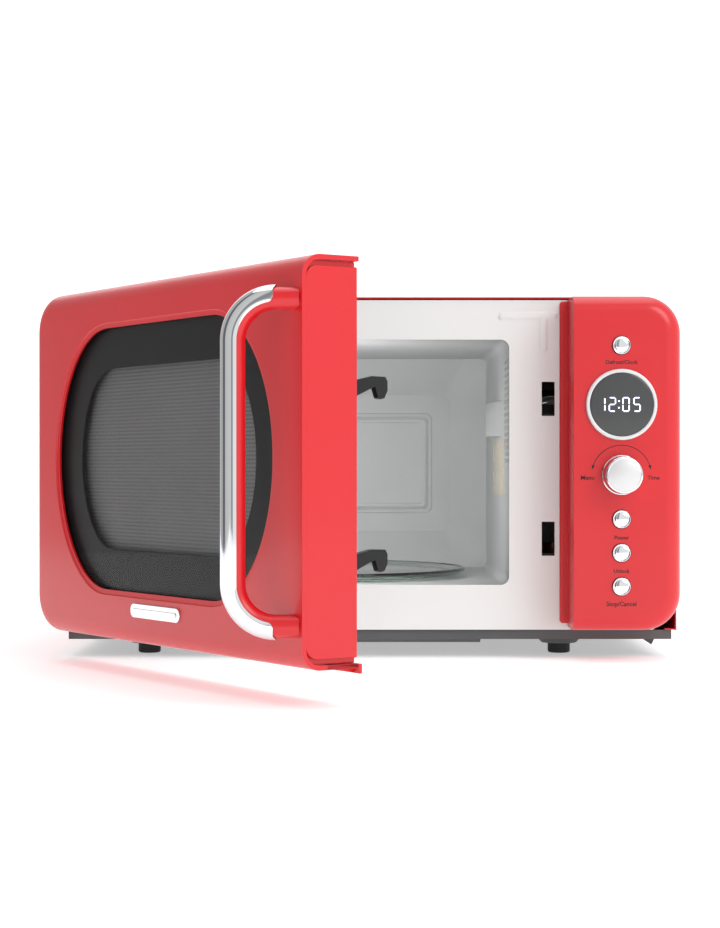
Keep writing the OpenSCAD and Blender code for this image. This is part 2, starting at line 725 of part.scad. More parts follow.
module capacitor_clamp() color("silver") cabinet() difference() {
    union() {
        can(192, 206, 1.1);
        box([can_x - 42, 192, base_z + base_t], [can_x, 206, base_z + base_t + 1.1]);
    }
    can(190, 208, 0.1);
    rod_z(base_z, base_z + 4, can_x - 36, 199, 2.2);
}

module hv_diode() color("black") cabinet() {
    rod_y(158, 180, wall_x + 16, base_z + base_t + 4, 4);
    rod_y(180, 196, wall_x + 16, base_z + base_t + 4, 0.8);
    rod_y(146, 158, wall_x + 16, base_z + base_t + 4, 0.8);
    difference() {
        box([wall_x + 11, 194, base_z + base_t], [wall_x + 21, 204, base_z + base_t + 5]);
        rod_z(base_z, base_z + 9, wall_x + 16, 200, 1.7);
    }
}

module thermal_cutouts() color("tan") cabinet() {
    top = antenna_z + 38;
    rod_z(top + 1, top + 9, guide_x1 + 26, antenna_y, 8);
    box([guide_x1 + 14, antenna_y - 5, top], [guide_x1 + 38, antenna_y + 5, top + 1]);
    rod_x(wall_x + 1, wall_x + 9, 225, 120, 8);
    box([wall_x, 220, 108], [wall_x + 1, 230, 132]);
}

// ---- Fan --------------------------------------------------------------------

fan_shaft_d = 4;
motor_y1 = fan_y1 - shroud_d - 3;

module fan_shroud() color("lightslategray") cabinet() difference() {
    union() {
        along_y(fan_y1 - shroud_d, fan_y1) difference() {
            rounded([bay_x - shroud_w / 2, fan_z - shroud_w / 2],
                [bay_x + shroud_w / 2, fan_z + shroud_w / 2],
                [6, 6, 6, 6]);
            translate([bay_x, fan_z]) circle(r = fan_d / 2 + 2.5);
        }
        // Spider that carries the motor
        intersection() {
            along_y(fan_y1 - shroud_d - 3, fan_y1 - shroud_d) for (a = [0, 90])
                translate([bay_x, fan_z]) rotate(45 + a) square([fan_d + 12, 9], true);
            box([bay_x - shroud_w / 2, 0, fan_z - shroud_w / 2],
                [bay_x + shroud_w / 2, cabinet_d, fan_z + shroud_w / 2]);
        }
        rod_y(fan_y1 - shroud_d - 3, fan_y1 - shroud_d, bay_x, fan_z, 18);
    }
    rod_y(fan_y1 - shroud_d - 4, fan_y1 - shroud_d + 1, bay_x, fan_z, 5);
}

module fan_motor() color("saddlebrown") cabinet() difference() {
    union() {
        // Laminated stator and its coil
        along_y(motor_y1 - 20, motor_y1 - 2) rounded([bay_x - 24, fan_z - 24],
            [bay_x + 24, fan_z + 34], [3, 3, 3, 3]);
        box([bay_x - 15, motor_y1 - 27, fan_z + 22], [bay_x + 15, motor_y1 - 1, fan_z + 40]);
        rod_y(motor_y1 - 26, motor_y1, bay_x, fan_z, 9);
    }
    rod_y(motor_y1 - 27, motor_y1 + 1, bay_x, fan_z, fan_shaft_d / 2 + running);
}

module fan_blade() color("white") cabinet() {
    rod_y(motor_y1 - 27, fan_y1 - 8, bay_x, fan_z, fan_shaft_d / 2);
    rod_y(fan_y1 - 22, fan_y1 - 4, bay_x, fan_z, 12);
    for (i = [0 : fan_blades - 1]) translate([bay_x, fan_y1 - 13, fan_z])
        rotate([0, i * 360 / fan_blades, 0])
        translate([9, 0, 0]) rotate([32, 0, 0]) translate([0, -0.8, -11])
            cube([fan_d / 2 - 11.5, 1.6, 22]);
}

// ---- Electrics --------------------------------------------------------------

filter_z = fan_z + shroud_w / 2 + 8;

module filter_board() color("seagreen") cabinet() {
    y0 = fan_y1 - 76;
    box([bay_x - 30, y0, filter_z], [bay_x + 34, fan_y1 - 2, filter_z + 1.6]);
    // Legs that stand on the fan shroud
    for (x = [-22, 26]) for (y = [6, 20]) rod_z(filter_z - 8, filter_z, bay_x + x, fan_y1 - y, 2.5);
    box([bay_x - 24, y0 + 8, filter_z + 1.6], [bay_x - 6, y0 + 34, filter_z + 18]);
    rod_z(filter_z + 1.6, filter_z + 20, bay_x + 14, y0 + 24, 13);
    box([bay_x - 25, y0 + 44, filter_z + 1.6], [bay_x - 17, y0 + 50, filter_z + 8]);
    box([bay_x + 11, y0 + 44, filter_z + 1.6], [bay_x + 19, y0 + 50, filter_z + 8]);
    rod_x(bay_x - 22, bay_x + 16, y0 + 47, filter_z + 8, 3.2);
}

module latch_board() color("ghostwhite") cabinet() difference() {
    x0 = latch_x - 10;
    x1 = latch_x + 10;
    z0 = latch_z - 16;
    z1 = latch_z + latch_span + 32;
    union() {
        box([x0, sheet_t, z0], [x1, sheet_t + 2, z1]);
        box([x0, sheet_t + 2, z0], [x0 + 2, 40, z1]);
        box([x1 - 2, sheet_t + 2, z0], [x1, 40, z1]);
        for (z = [z0, latch_z + latch_span / 2, z1 - 2])
            box([x0 + 2, sheet_t + 2, z], [x1 - 2, 40, z + 2]);
        // Catch that each hook drops behind
        for (k = [0, 1]) box([x0 + 2, 5, latch_z + k * latch_span - 8],
            [x1 - 2, 14, latch_z + k * latch_span - 1]);
    }
    for (k = [0, 1]) {
        translate([0, 0, latch_z + k * latch_span]) {
            box([latch_x - slot_w / 2 - 0.4, 0, -3], [latch_x + slot_w / 2 + 0.4, 4, 22.5]);
            // Way through for the switch plunger
            box([x1 - 3, 16, 0], [x1 + cut, 28, 8]);
        }
    }
}

module interlock_switches() color("dimgray") cabinet() {
    x1 = latch_x + 10;
    for (z = [latch_z - 5, latch_z + latch_span - 5, latch_z + latch_span - 25]) {
        difference() {
            box([x1, 8, z], [x1 + 10.3, 36, z + 16]);
            for (p = [[12, 3], [31, 13]]) rod_x(x1 - cut, x1 + 11, p[0], z + p[1], 1.5);
        }
        for (y = [12, 20, 30]) box([x1 + 10.3, y, z + 5], [x1 + 17, y + 0.8, z + 11]);
    }
}

gland_hole_r = cord_bore_d / 2 + 4;

module cord_gland() color("black") cabinet() difference() {
    union() {
        rod_y(rear_y - 10, rear_y + sheet_t, gland_x, gland_z, gland_hole_r - 0.1);
        rod_y(rear_y + sheet_t, cabinet_d, gland_x, gland_z, gland_hole_r + 2.5);
        rod_y(rear_y - 5, rear_y, gland_x, gland_z, gland_hole_r + 1.2);
    }
    rod_y(rear_y - 11, cabinet_d + cut, gland_x, gland_z, cord_bore_d / 2);
}

module cabinet_screws() color("silver") cabinet() {
    for (p = rear_screws) translate([p[0], cabinet_d, p[1]]) rotate([0, 0, 180])
        screw(7.5, 2, 3.2, case_t + sheet_t + 5);
    for (z = hinge_screw_zs) translate([hinge_x, 0, z]) screw(5.5, 0.9, 2.6, 2 * sheet_t + hinge_t + 1);
    for (p = core_screws) translate([p[0], p[1], core_z0]) rotate([-90, 0, 0]) screw(8, 3, 4, 2.6);
    translate([can_x - 36, 199, base_z + base_t + 1.1]) rotate([-90, 0, 0]) screw(8, 2.4, 4, 1);
}

// ---- Turntable --------------------------------------------------------------

motor_shaft_d = 7;

module turntable_motor() color("silver") cabinet() difference() {
    top = well_z - sheet_t;
    union() {
        rod_z(top - 18, top, tray_x, tray_y, 25);
        for (side = [-1, 1]) {
            along_z(top - 1.2, top) translate([tray_x + side * 29, tray_y]) circle(r = 5);
            box([tray_x + side * 26 - 4, tray_y - 5, top - 1.2],
                [tray_x + side * 26 + 4, tray_y + 5, top]);
        }
        box([tray_x - 10, tray_y + 22, top - 14], [tray_x + 10, tray_y + 32, top - 4]);
    }
    rod_z(top - 12, top + cut, tray_x, tray_y, motor_shaft_d / 2 + running);
    for (side = [-1, 1]) rod_z(top - 2, top + cut, tray_x + side * 29, tray_y, 2);
}

coupler_top = tray_z - 0.8;

module turntable_coupler() color("lightgray") cabinet() {
    rod_z(well_z - sheet_t - 11, well_z + 3, tray_x, tray_y, motor_shaft_d / 2);
    rod_z(well_z + 1, coupler_top, tray_x, tray_y, 9);
    for (i = [0 : 2]) translate([tray_x, tray_y, 0]) rotate(120 * i) {
        box([0, -4, well_z + 4], [22, 4, coupler_top]);
        rod_z(well_z + 4, coupler_top, 22, 0, 4);
    }
}

module glass_tray() color("lightcyan") cabinet() translate([tray_x, tray_y, 0]) {
    r = tray_d / 2;
    rotate_extrude() polygon([[0, tray_z], [r - 24, tray_z], [r - 8, tray_z + 1],
        [r, tray_z + tray_h - 1.6],
        [r, tray_z + tray_h], [r - 3, tray_z + tray_h], [r - 11, tray_z + tray_t + 0.6],
        [r - 25, tray_z + tray_t], [0, tray_z + tray_t]]);
    // Lugs that the coupler turns
    for (i = [0 : 2]) rotate(60 + 120 * i) rod_z(tray_z - 4, tray_z + cut, 19, 0, 4.5);
}

ring_r = wheel_path_r - wheel_w / 2 - 5;

module roller_ring() color("lightgray") cabinet() translate([tray_x, tray_y, 0]) {
    difference() {
        rod_z(wheel_z - 2.5, wheel_z + 2.5, 0, 0, ring_r + 3);
        rod_z(wheel_z - 3.5, wheel_z + 3.5, 0, 0, ring_r - 3);
    }
    for (i = [0 : 2]) rotate(120 * i) {
        rod_x(ring_r, wheel_path_r + wheel_w / 2 + 0.4, 0, wheel_z, axle_d / 2);
        rod_x(wheel_path_r + wheel_w / 2 + 0.4, wheel_path_r + wheel_w / 2 + 1.8, 0, wheel_z,
            axle_d / 2 + 0.7);
    }
}

module roller_wheel(i) color("white") cabinet() translate([tray_x, tray_y, 0]) rotate(120 * i)
    difference() {
    union() {
        rod_x(wheel_path_r - wheel_w / 2, wheel_path_r + wheel_w / 2, 0, wheel_z, wheel_r - 1);
        rod_x(wheel_path_r - wheel_w / 2 + 1, wheel_path_r + wheel_w / 2 - 1, 0, wheel_z, wheel_r);
    }
    rod_x(wheel_path_r - wheel_w, wheel_path_r + wheel_w, 0, wheel_z, axle_d / 2 + running);
}

module roller_wheel_1() roller_wheel(0);

module roller_wheel_2() roller_wheel(1);

module roller_wheel_3() roller_wheel(2);

// ---- Control panel ----------------------------------------------------------

panel_corner_r = case_corner_r;

// Body of the panel with rolled edges, drawn in by t on every side but the back
module panel_body(t) {
    intersection() {
        along_y(panel_face + t, -0.2 + (t > 0 ? cut : 0)) rounded([panel_x0 + t, fascia_z0 + t],
            [panel_x1 - t, fascia_z1 - t], [2, panel_corner_r - t, panel_corner_r - t, 2]);
        along_x(panel_x0, panel_x1) rounded([panel_face + t, fascia_z0 + t], [cut, fascia_z1 - t],
            [roll_r - t, 0, 0, roll_r - t]);
    }
}

module control_panel() color("crimson") cabinet() difference() {
    union() {
        difference() {
            panel_body(0);
            panel_body(shell_t);
        }
        // Lip that the free side of the door closes in front of
        box([panel_x0 - panel_lip_w, -0.2 - 2, fascia_z0 + 2.7], [panel_x0 + 1, -0.2, fascia_z1 - 1.3]);
        // Guide rings behind the buttons
        for (z = button_zs) rod_y(panel_back - 0.5, panel_back + 4, panel_x, z, button_d / 2 + 3.4);
        // Posts for the board
        for (side = [-1, 1]) for (z = [fascia_z0 + 14, fascia_z1 - 14])
            rod_y(panel_back - 0.5, board_y, panel_x + side * 24, z, 3);
    }
    for (z = button_zs) {
        rod_y(panel_face - cut, 0, panel_x, z, button_d / 2 + button_gap);
        rod_y(panel_back + 1.2, 0, panel_x, z, button_d / 2 + 1.8);
    }
    rod_y(panel_face - cut, panel_back + cut, panel_x, display_z, display_d / 2 - 3.4);
    rod_y(panel_face - cut, panel_back + cut, panel_x, knob_z, knob_shaft_d / 2 + 1.2);
}

module display_bezel() color("silver") cabinet() difference() {
    r = display_d / 2;
    union() {
        rod_y(panel_face - 2.2, panel_face, panel_x, display_z, r);
        rod_y(panel_face, panel_back + 1, panel_x, display_z, r - 3.5);
    }
    rod_y(panel_face - 3, panel_face - 0.6, panel_x, display_z, r - 2.6);
    rod_y(panel_face - 3, panel_back + 2, panel_x, display_z, r - 5);
}

module display_lens() color("darkslategray") cabinet() {
    r = display_d / 2 - 2.7;
    rod_y(panel_face - 1.7, panel_face - 0.6, panel_x, display_z, r);
    rod_y(panel_face - 0.6, panel_face + 0.4, panel_x, display_z, r - 2.4);
}

module display_module() color("black") cabinet() {
    box([panel_x - 19, panel_back + 1.2, display_z - 12],
        [panel_x + 19, panel_back + 8, display_z + 12]);
    for (x = [-15 : 5 : 15]) box([panel_x + x - 0.4, panel_back + 8, display_z - 10],
        [panel_x + x + 0.4, board_y, display_z - 9]);
}

module control_board() color("darkgreen") cabinet() {
    difference() {
        box([panel_x - 29, board_y, fascia_z0 + 8], [panel_x + 29, board_y + board_t, fascia_z1 - 8]);
        rod_y(board_y - cut, board_y + 3, panel_x, knob_z, 2.5);
    }
    // Push switches under the buttons
    for (z = button_zs) {
        box([panel_x - 3, board_y - 3.5, z - 3], [panel_x + 3, board_y, z + 3]);
        rod_y(board_y - switch_h, board_y - 3.5, panel_x, z, 1.7);
    }
    // Relay, buzzer and transformer on the back
    box([panel_x - 24, board_y + board_t, fascia_z0 + 20], [panel_x - 4, board_y + 18, fascia_z0 + 50]);
    box([panel_x + 4, board_y + board_t, fascia_z0 + 24], [panel_x + 22, board_y + 16, fascia_z0 + 40]);
    rod_y(board_y + board_t, board_y + 11, panel_x + 10, fascia_z1 - 60, 6);
}

module encoder_body() color("gray") cabinet() difference() {
    union() {
        box([panel_x - 6.5, board_y - 6.5, knob_z - 6], [panel_x + 6.5, board_y, knob_z + 6]);
        rod_y(panel_back + 0.3, board_y - 6.5, panel_x, knob_z, knob_shaft_d / 2 + 1);
    }
    rod_y(panel_back - cut, board_y - 5, panel_x, knob_z, knob_shaft_d / 2 + running);
    rod_y(board_y - 5, board_y - 1, panel_x, knob_z, 4.4);
}

module encoder_plunger() color("white") cabinet() rod_y(board_y - 3.8, board_y - 2.6, panel_x,
    knob_z, 4);

module menu_knob() color("silver") cabinet() {
    front = panel_face - knob_h;
    rod_y(front + 3, board_y - 3.8, panel_x, knob_z, knob_shaft_d / 2);
    difference() {
        union() {
            rod_y(panel_face - 3.2, panel_face - 1.4, panel_x, knob_z, knob_d / 2);
            translate([panel_x, panel_face - 3.2, knob_z]) rotate([90, 0, 0])
                cylinder(h = knob_h - 4.4, r1 = knob_d / 2 - 1, r2 = knob_d / 2 - 1.8);
            translate([panel_x, front + 1.2, knob_z]) rotate([90, 0, 0])
                cylinder(h = 1.2, r1 = knob_d / 2 - 1.8, r2 = knob_d / 2 - 3);
        }
        rod_y(front - cut, front + 0.8, panel_x, knob_z, knob_d / 2 - 4.6);
        difference() {
            rod_y(front + 3, panel_face, panel_x, knob_z, knob_d / 2 - 3.4);
            rod_y(front + 2, panel_face + 1, panel_x, knob_z, knob_shaft_d / 2 + 2.4);
        }
    }
}

// Button with a raised rim, a domed cap, a flange behind the panel and a stem
module button(z) color("silver") cabinet() {
    r = button_d / 2;
    difference() {
        rod_y(panel_face - 1.6, panel_back + 1.4, panel_x, z, r);
        rod_y(panel_face - 2.6, panel_face - 0.9, panel_x, z, r - 1);
    }
    intersection() {
        rod_y(panel_face - 2.4, panel_face - 0.8, panel_x, z, r - 1.3);
        translate([panel_x, panel_face - 2.4 + 16, z]) sphere(r = 16);
    }
    rod_y(panel_back + 1.4, panel_back + 2.6, panel_x, z, r + 1.4);
    rod_y(panel_back + 2.6, board_y - switch_h - button_travel - 0.2, panel_x, z, 2.5);
}

module clock_button() button(button_zs[0]);

module power_button() button(button_zs[1]);

module unlock_button() button(button_zs[2]);

module stop_button() button(button_zs[3]);

// ---- Door -------------------------------------------------------------------

// Body of the door with rolled edges, drawn in by t
module door_body(t) {
    intersection() {
        along_y(door_y0 + t, door_y1 + (t > 0 ? cut : 0)) rounded([door_x0 + t, door_z0 + t],
            [door_x1 + (t > 0 ? cut : 0), door_z1 - t], [door_corner_r - t, 0, 0, door_corner_r - t]);
        along_x(door_x0, door_x1 + cut) rounded([door_y0 + t, door_z0 + t],
            [door_y1 + 2 * cut, door_z1 - t],
            [roll_r - t, 0, 0, roll_r - t]);
        along_z(door_z0, door_z1) rounded([door_x0 + t, door_y0 + t],
            [door_x1 + 2 * cut, door_y1 + 2 * cut],
            [roll_r - t, 0, 0, 0]);
    }
}

module door_shell() color("red") door() difference() {
    union() {
        difference() {
            door_body(0);
            door_body(shell_t);
        }
        // Lip below the back edge
        along_x(hinge_x + 16, door_x1) polygon([[-24, door_z0], [-0.6, door_z0 - 3.2],
            [-0.6, door_z0 + 2.4],
            [door_y1 - 2, door_z0 + shell_t], [-24, door_z0 + shell_t]]);
        // Bosses for the handle screws
        for (z = handle_zs) rod_y(door_y0 + 1, door_y0 + 11, door_x1 - handle_foot_inset, z, 5);
    }
    along_y(door_y0 - cut, glass_y0 + cut) window_outline(0);
    along_y(door_y0 - cut, door_y0 + 1.2) window_outline(3.5);
    // The side wall stops short so that it turns clear of the front plate
    box([door_x0 - cut, side_wall_y, door_z0 - cut], [door_x0 + shell_t + 0.6, 2, door_z1 + cut]);
    // Ways through the side wall for the hinge fingers
    for (z = [finger_z0, finger_z1 - hinge_t]) box([door_x0 - cut, hinge_y - 9.5, z - hinge_gap],
        [door_x0 + shell_t + 3, 2, z + hinge_t + hinge_gap]);
    for (z = handle_zs) rod_y(door_y0 - cut, door_y0 + 12, door_x1 - handle_foot_inset, z, 1.7);
}

module door_end_cap() color("orangered") door() difference() {
    along_x(cap_x0, cap_x1) rounded([door_y0 + shell_t + 0.3, door_z0 + 6.1],
        [pan_y0 - 0.4, door_z1 - 6.1],
        [roll_r - 4, 1, 1, roll_r - 4]);
    box([cap_x0 - cut, door_y0 + shell_t + 3.3, door_z0 + 9.1],
        [cap_x1 - 2, pan_y0 - 3.4, door_z1 - 9.1]);
}

module door_glass() color("black", 0.8) door() along_y(glass_y0, glass_y1) window_outline(6);

module glass_frame() color("black") door() along_y(glass_y1 + 0.1, frame_y1) difference() {
    window_outline(8);
    window_outline(-window_border);
}

module mesh_screen() color("gray") door() along_y(screen_y0, screen_y0 + screen_t)
    window_outline(-window_border + 8);

module door_pan() color("whitesmoke") door() difference() {
    union() {
        difference() {
            along_y(pan_y0 - 15, pan_y1) rounded([pan_x0, pan_z0], [pan_x1, pan_z1], [4, 4, 4, 4]);
            along_y(pan_y0 - 16, pan_y0) rounded([pan_x0 + pan_t, pan_z0 + pan_t],
                [pan_x1 - pan_t, pan_z1 - pan_t], [3, 3, 3, 3]);
        }
        // Wall that carries the screen
        along_y(screen_y0 + screen_t, pan_y1) window_outline(-window_border + 8);
        for (s = boss_spans) rod_z(s[0], s[1], hinge_x, hinge_y, boss_d / 2);
        // Guides beside the latch bar and the seat of its spring
        for (side = [-1, 1]) for (z = [18, 68])
            translate([latch_x + side * (latch_t / 2 + slip + 0.5), 0, latch_z])
            box([-0.5, latch_bar_y0, z], [0.5, pan_y1, z + 14]);
        box([latch_x - 5, latch_bar_y0 - 1, spring_top], [latch_x + 5, pan_y1, spring_top + 1]);
    }
    along_y(screen_y0, pan_y1 + cut) window_outline(-window_border + 6);
    for (s = boss_spans) rod_z(s[0] - cut, s[1] + cut, hinge_x, hinge_y, hinge_pin_d / 2 + running);
    // Corners left open for the hinge fingers
    for (z = [[pan_z0 - cut, finger_z0 + hinge_t + 0.4], [finger_z1 - hinge_t - 0.4, pan_z1 + cut]])
        box([pan_x0 - cut, pan_y0 - 16, z[0]], [hinge_x + hinge_w / 2 + 1.5, pan_y1 + cut, z[1]]);
    for (k = [0, 1]) latch_way(pan_y0 - cut, pan_y1 + cut, k);
}

boss_spans = [
    [finger_z0 + hinge_t + 0.5, finger_z0 + hinge_t + 11],
    [finger_z1 - hinge_t - 11, finger_z1 - hinge_t - 5]
];

// Slot that a latch hook passes
module latch_way(a, b, k) {
    box([latch_x - latch_t / 2 - 1, a, latch_z + k * latch_span - 1],
        [latch_x + latch_t / 2 + 1, b, latch_z + k * latch_span + 14.5 + latch_travel]);
}

module choke_cover() color("dimgray") door() difference() {
    along_y(pan_y1, door_y1) rounded([hinge_x + 9, pan_z0 - 1], [door_x1 - 5.5, pan_z1 + 1],
        [8, 4, 4, 8]);
    along_y(pan_y1 - cut, door_y1 + cut) window_outline(-window_border + 1);
    along_y(pan_y1 - cut, pan_y1 + 1) window_outline(-window_border + 5);
    for (k = [0, 1]) latch_way(pan_y1 - cut, door_y1 + cut, k);
}

module inner_window() color("white", 0.3) door() along_y(pan_y1, pan_y1 + 0.8)
    window_outline(-window_border + 4.8);

module door_badge() color("silver") door() {
    z = door_z0 + 22.5;
    x = (door_x0 + door_x1) / 2 + 5;
    along_y(door_y0 - 1.2, door_y0) rounded([x - 33, z - 4.5], [x + 33, z + 4.5], [4.5, 4.5, 4.5, 4.5]);
    along_y(door_y0 - 1.8, door_y0 - 1.2) rounded([x - 29, z - 1.5], [x + 29, z + 1.5],
        [1.5, 1.5, 1.5, 1.5]);
}

// ---- Handle -----------------------------------------------------------------

handle_zs = [door_z0 + handle_margin, door_z1 - handle_margin];
handle_lean = atan2(handle_inset - handle_foot_inset, handle_stand);
handle_reach = handle_stand / cos(handle_lean);
handle_core_r = handle_core_d / 2;

// Draws in the plane of the handle: x runs out from the foot, z runs up
module handle_plane() {
    door() translate([door_x1 - handle_foot_inset, door_y0, 0]) rotate([0, 0, -90 - handle_lean])
        children();
}

// Sweeps an outline, drawn with +x to the outside of the loop, along the bends and the bar
module handle_sweep(stub) {
    r = handle_bend_r;
    translate([handle_reach, 0, handle_zs[0] + r])
        linear_extrude(handle_zs[1] - handle_zs[0] - 2 * r) children();
    for (k = [0, 1]) translate([handle_reach - r, 0, handle_zs[k] + (k == 0 ? r : -r)])
        mirror([0, 0, k == 0 ? 1 : 0])
        rotate([90, 0, 0]) rotate_extrude(angle = 90) translate([r, 0]) children();
    for (k = [0, 1]) translate([handle_reach - r, 0, handle_zs[k]]) mirror([0, 0, k == 0 ? 1 : 0])
        rotate([0, -90, 0]) linear_extrude(stub) children();
}

module door_handle() color("red") intersection() {
    handle_plane() handle_sweep(handle_reach - handle_bend_r + 10) circle(r = handle_core_r);
    door() box([door_x0, door_y0 - 100, 0], [door_x1 + 100, door_y0, cabinet_h]);
}

module handle_trim() color("silver") handle_plane() handle_sweep(2) difference() {
    circle(r = handle_core_r + handle_cover_t);
    circle(r = handle_core_r + 0.05);
    translate([-50 - handle_core_r / 3, 0]) square(100, true);
}

// ---- Latch ------------------------------------------------------------------

module latch_hooks() color("black") door() {
    reach = latch_reach;
    along_x(latch_x - latch_t / 2, latch_x + latch_t / 2) {
        for (k = [0, 1]) translate([0, latch_z + k * latch_span]) polygon([
            [latch_bar_y1 - 1, 1.5], [2, 1.5], [reach - 9, 7.3], [reach - 6.8, 0.8], [reach - 5, 0],
            [reach - 2, 0.8], [reach, 5], [reach, 10.5], [reach - 1.5, 13.3], [reach - 11, 13.5],
            [-4, 9.8], [latch_bar_y1 - 1, 9.8]]);
        translate([latch_bar_y0, latch_z]) square([latch_bar_y1 - latch_bar_y0,
            latch_bar_top - latch_z]);
    }
}

spring_d = 6.4;
spring_wire = 0.8;
spring_turns = 7;
spring_steps = 12;
spring_sides = 6;

// Coil of round wire standing on z = 0, as rings of points along a helix
module coil(length) {
    count = spring_turns * spring_steps;
    points = [for (i = [0 : count]) for (j = [0 : spring_sides - 1])
        let (a = i * 360 / spring_steps, b = j * 360 / spring_sides,
            r = spring_d / 2 + spring_wire / 2 * cos(b))
            [r * cos(a), r * sin(a),
                spring_wire / 2 + i * (length - spring_wire) / count + spring_wire / 2 * sin(b)]];
    sides = [for (i = [0 : count - 1]) for (j = [0 : spring_sides - 1])
        let (k = (j + 1) % spring_sides)
            [i * spring_sides + j, i * spring_sides + k, (i + 1) * spring_sides + k,
                (i + 1) * spring_sides + j]];
    first = [for (j = [spring_sides - 1 : -1 : 0]) j];
    last = [for (j = [0 : spring_sides - 1]) count * spring_sides + j];
    polyhedron(points, concat(sides, [first, last]));
}

module latch_spring() color("silver") door()
    translate([latch_x, (latch_bar_y0 + latch_bar_y1) / 2, latch_bar_top + 0.05])
        coil(spring_top - latch_bar_top - 0.1);

// ---- Selection --------------------------------------------------------------

outer_cabinet();
rear_panel();
base_plate();
front_plate();
cavity_liner();
waveguide_cover();
waveguide();
magnetron();
air_duct();
transformer_core();
transformer_windings();
capacitor();
capacitor_clamp();
hv_diode();
fan_motor();
fan_shroud();
fan_blade();
latch_board();
interlock_switches();
filter_board();
cavity_lamp();
lamp_holder();
thermal_cutouts();
cord_gland();
feet();
cabinet_screws();
upper_hinge();
lower_hinge();
turntable_motor();
turntable_coupler();
roller_ring();
roller_wheel_1();
roller_wheel_2();
roller_wheel_3();
glass_tray();
control_panel();
display_bezel();
display_lens();
display_module();
control_board();
encoder_body();
encoder_plunger();
menu_knob();
clock_button();
power_button();
unlock_button();
stop_button();
door_shell();
door_end_cap();
door_glass();
glass_frame();
door_pan();
mesh_screen();
choke_cover();
inner_window();
door_handle();
handle_trim();
door_badge();
latch_hooks();
latch_spring();
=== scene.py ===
"""Looks of a red countertop microwave oven whose side-hung door stands open.

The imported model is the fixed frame. Every piece here is built in millimetres, in the
cabinet's own axes (x across, y back from the front plate, z up from the worktop), and is
then carried into the frame. Door pieces are built as if the door were shut.
"""

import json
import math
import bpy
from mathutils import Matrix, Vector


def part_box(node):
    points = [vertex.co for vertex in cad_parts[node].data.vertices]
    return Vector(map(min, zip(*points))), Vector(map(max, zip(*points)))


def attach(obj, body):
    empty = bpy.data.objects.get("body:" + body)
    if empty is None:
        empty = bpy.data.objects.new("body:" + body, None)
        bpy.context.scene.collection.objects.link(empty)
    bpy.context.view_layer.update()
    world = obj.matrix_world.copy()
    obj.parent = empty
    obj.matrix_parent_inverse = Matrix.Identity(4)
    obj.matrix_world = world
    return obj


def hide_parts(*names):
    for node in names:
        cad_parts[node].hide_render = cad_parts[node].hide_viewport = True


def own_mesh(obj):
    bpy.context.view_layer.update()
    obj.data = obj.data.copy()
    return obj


bl_info = {
    "name": "Countertop microwave oven",
    "version": (1, 0, 0),
    "blender": (4, 5, 0),
    "location": "3D View > Sidebar > Microwave",
    "description": "Builds the visible surfaces of a countertop microwave oven",
    "category": "Add Mesh",
}

import bmesh
import bpy
from bpy.props import FloatProperty, FloatVectorProperty, PointerProperty
from mathutils import Matrix, Vector

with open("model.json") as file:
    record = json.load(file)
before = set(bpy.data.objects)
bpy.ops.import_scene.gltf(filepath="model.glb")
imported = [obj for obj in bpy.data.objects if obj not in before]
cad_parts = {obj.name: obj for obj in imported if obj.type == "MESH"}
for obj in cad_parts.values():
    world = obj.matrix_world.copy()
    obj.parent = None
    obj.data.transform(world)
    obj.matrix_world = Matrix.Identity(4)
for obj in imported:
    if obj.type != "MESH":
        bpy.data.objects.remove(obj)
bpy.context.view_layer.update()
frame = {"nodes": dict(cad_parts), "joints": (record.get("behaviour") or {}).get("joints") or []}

MM = 0.001
CASE_LIP = 1.2
CUT_LINE = 1e-4

case_low, case_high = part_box("outer_cabinet")
CABINET = Matrix.Translation(((case_low.x + case_high.x) / 2, case_low.y + CASE_LIP * MM, 0))
HINGE = next(j for j in frame["joints"] if j["name"] == "door_hinge")
PIVOT = Matrix.Translation(HINGE["pos_m"])
OPENING = math.radians(-HINGE["range_deg"][0])
DOOR = PIVOT @ Matrix.Rotation(OPENING, 4, HINGE["axis"]) @ PIVOT.inverted() @ CABINET


def linear(code):
    """Turns an sRGB hex colour into the linear colour that a socket takes."""
    parts = [int(code[i:i + 2], 16) / 255 for i in (0, 2, 4)]
    return (*(c / 12.92 if c <= 0.04045 else ((c + 0.055) / 1.055) ** 2.4 for c in parts), 1.0)


def length(name, text, size):
    """A length that a user can change, given in millimetres."""
    return FloatProperty(name=name, description=text, default=size * MM, min=0, unit="LENGTH",
                         precision=4)


def colour(name, text, code):
    """A colour that a user can change."""
    return FloatVectorProperty(name=name, description=text, default=linear(code), size=4,
                               subtype="COLOR", min=0, max=1)


class MicrowaveDoorSizes(bpy.types.PropertyGroup):
    """Sizes of the door."""

    corner: length("Corner radius", "Radius of the door's two left corners", 26)
    roll: length("Edge roll", "Radius of the rolled front edges", 12)
    wall: length("Wall", "Thickness of the moulded shell", 2.8)
    window_w: length("Window width", "Width of the window opening", 286)
    window_h: length("Window height", "Height of the window opening", 173)
    window_end: length("Window end", "Length of each half-elliptic end of the window", 72)
    border: length("Window border", "Width of the dark border round the window", 26.5)


class MicrowaveHandleSizes(bpy.types.PropertyGroup):
    """Sizes of the door handle."""

    core: length("Core diameter", "Diameter of the red bar", 13)
    cover: length("Cover thickness", "Thickness of the bright cover on the bar", 1.5)
    bend: length("Bend radius", "Radius of the two bends of the bar", 24)
    reach: length("Reach", "Distance of the bar's middle from the door", 33.42)


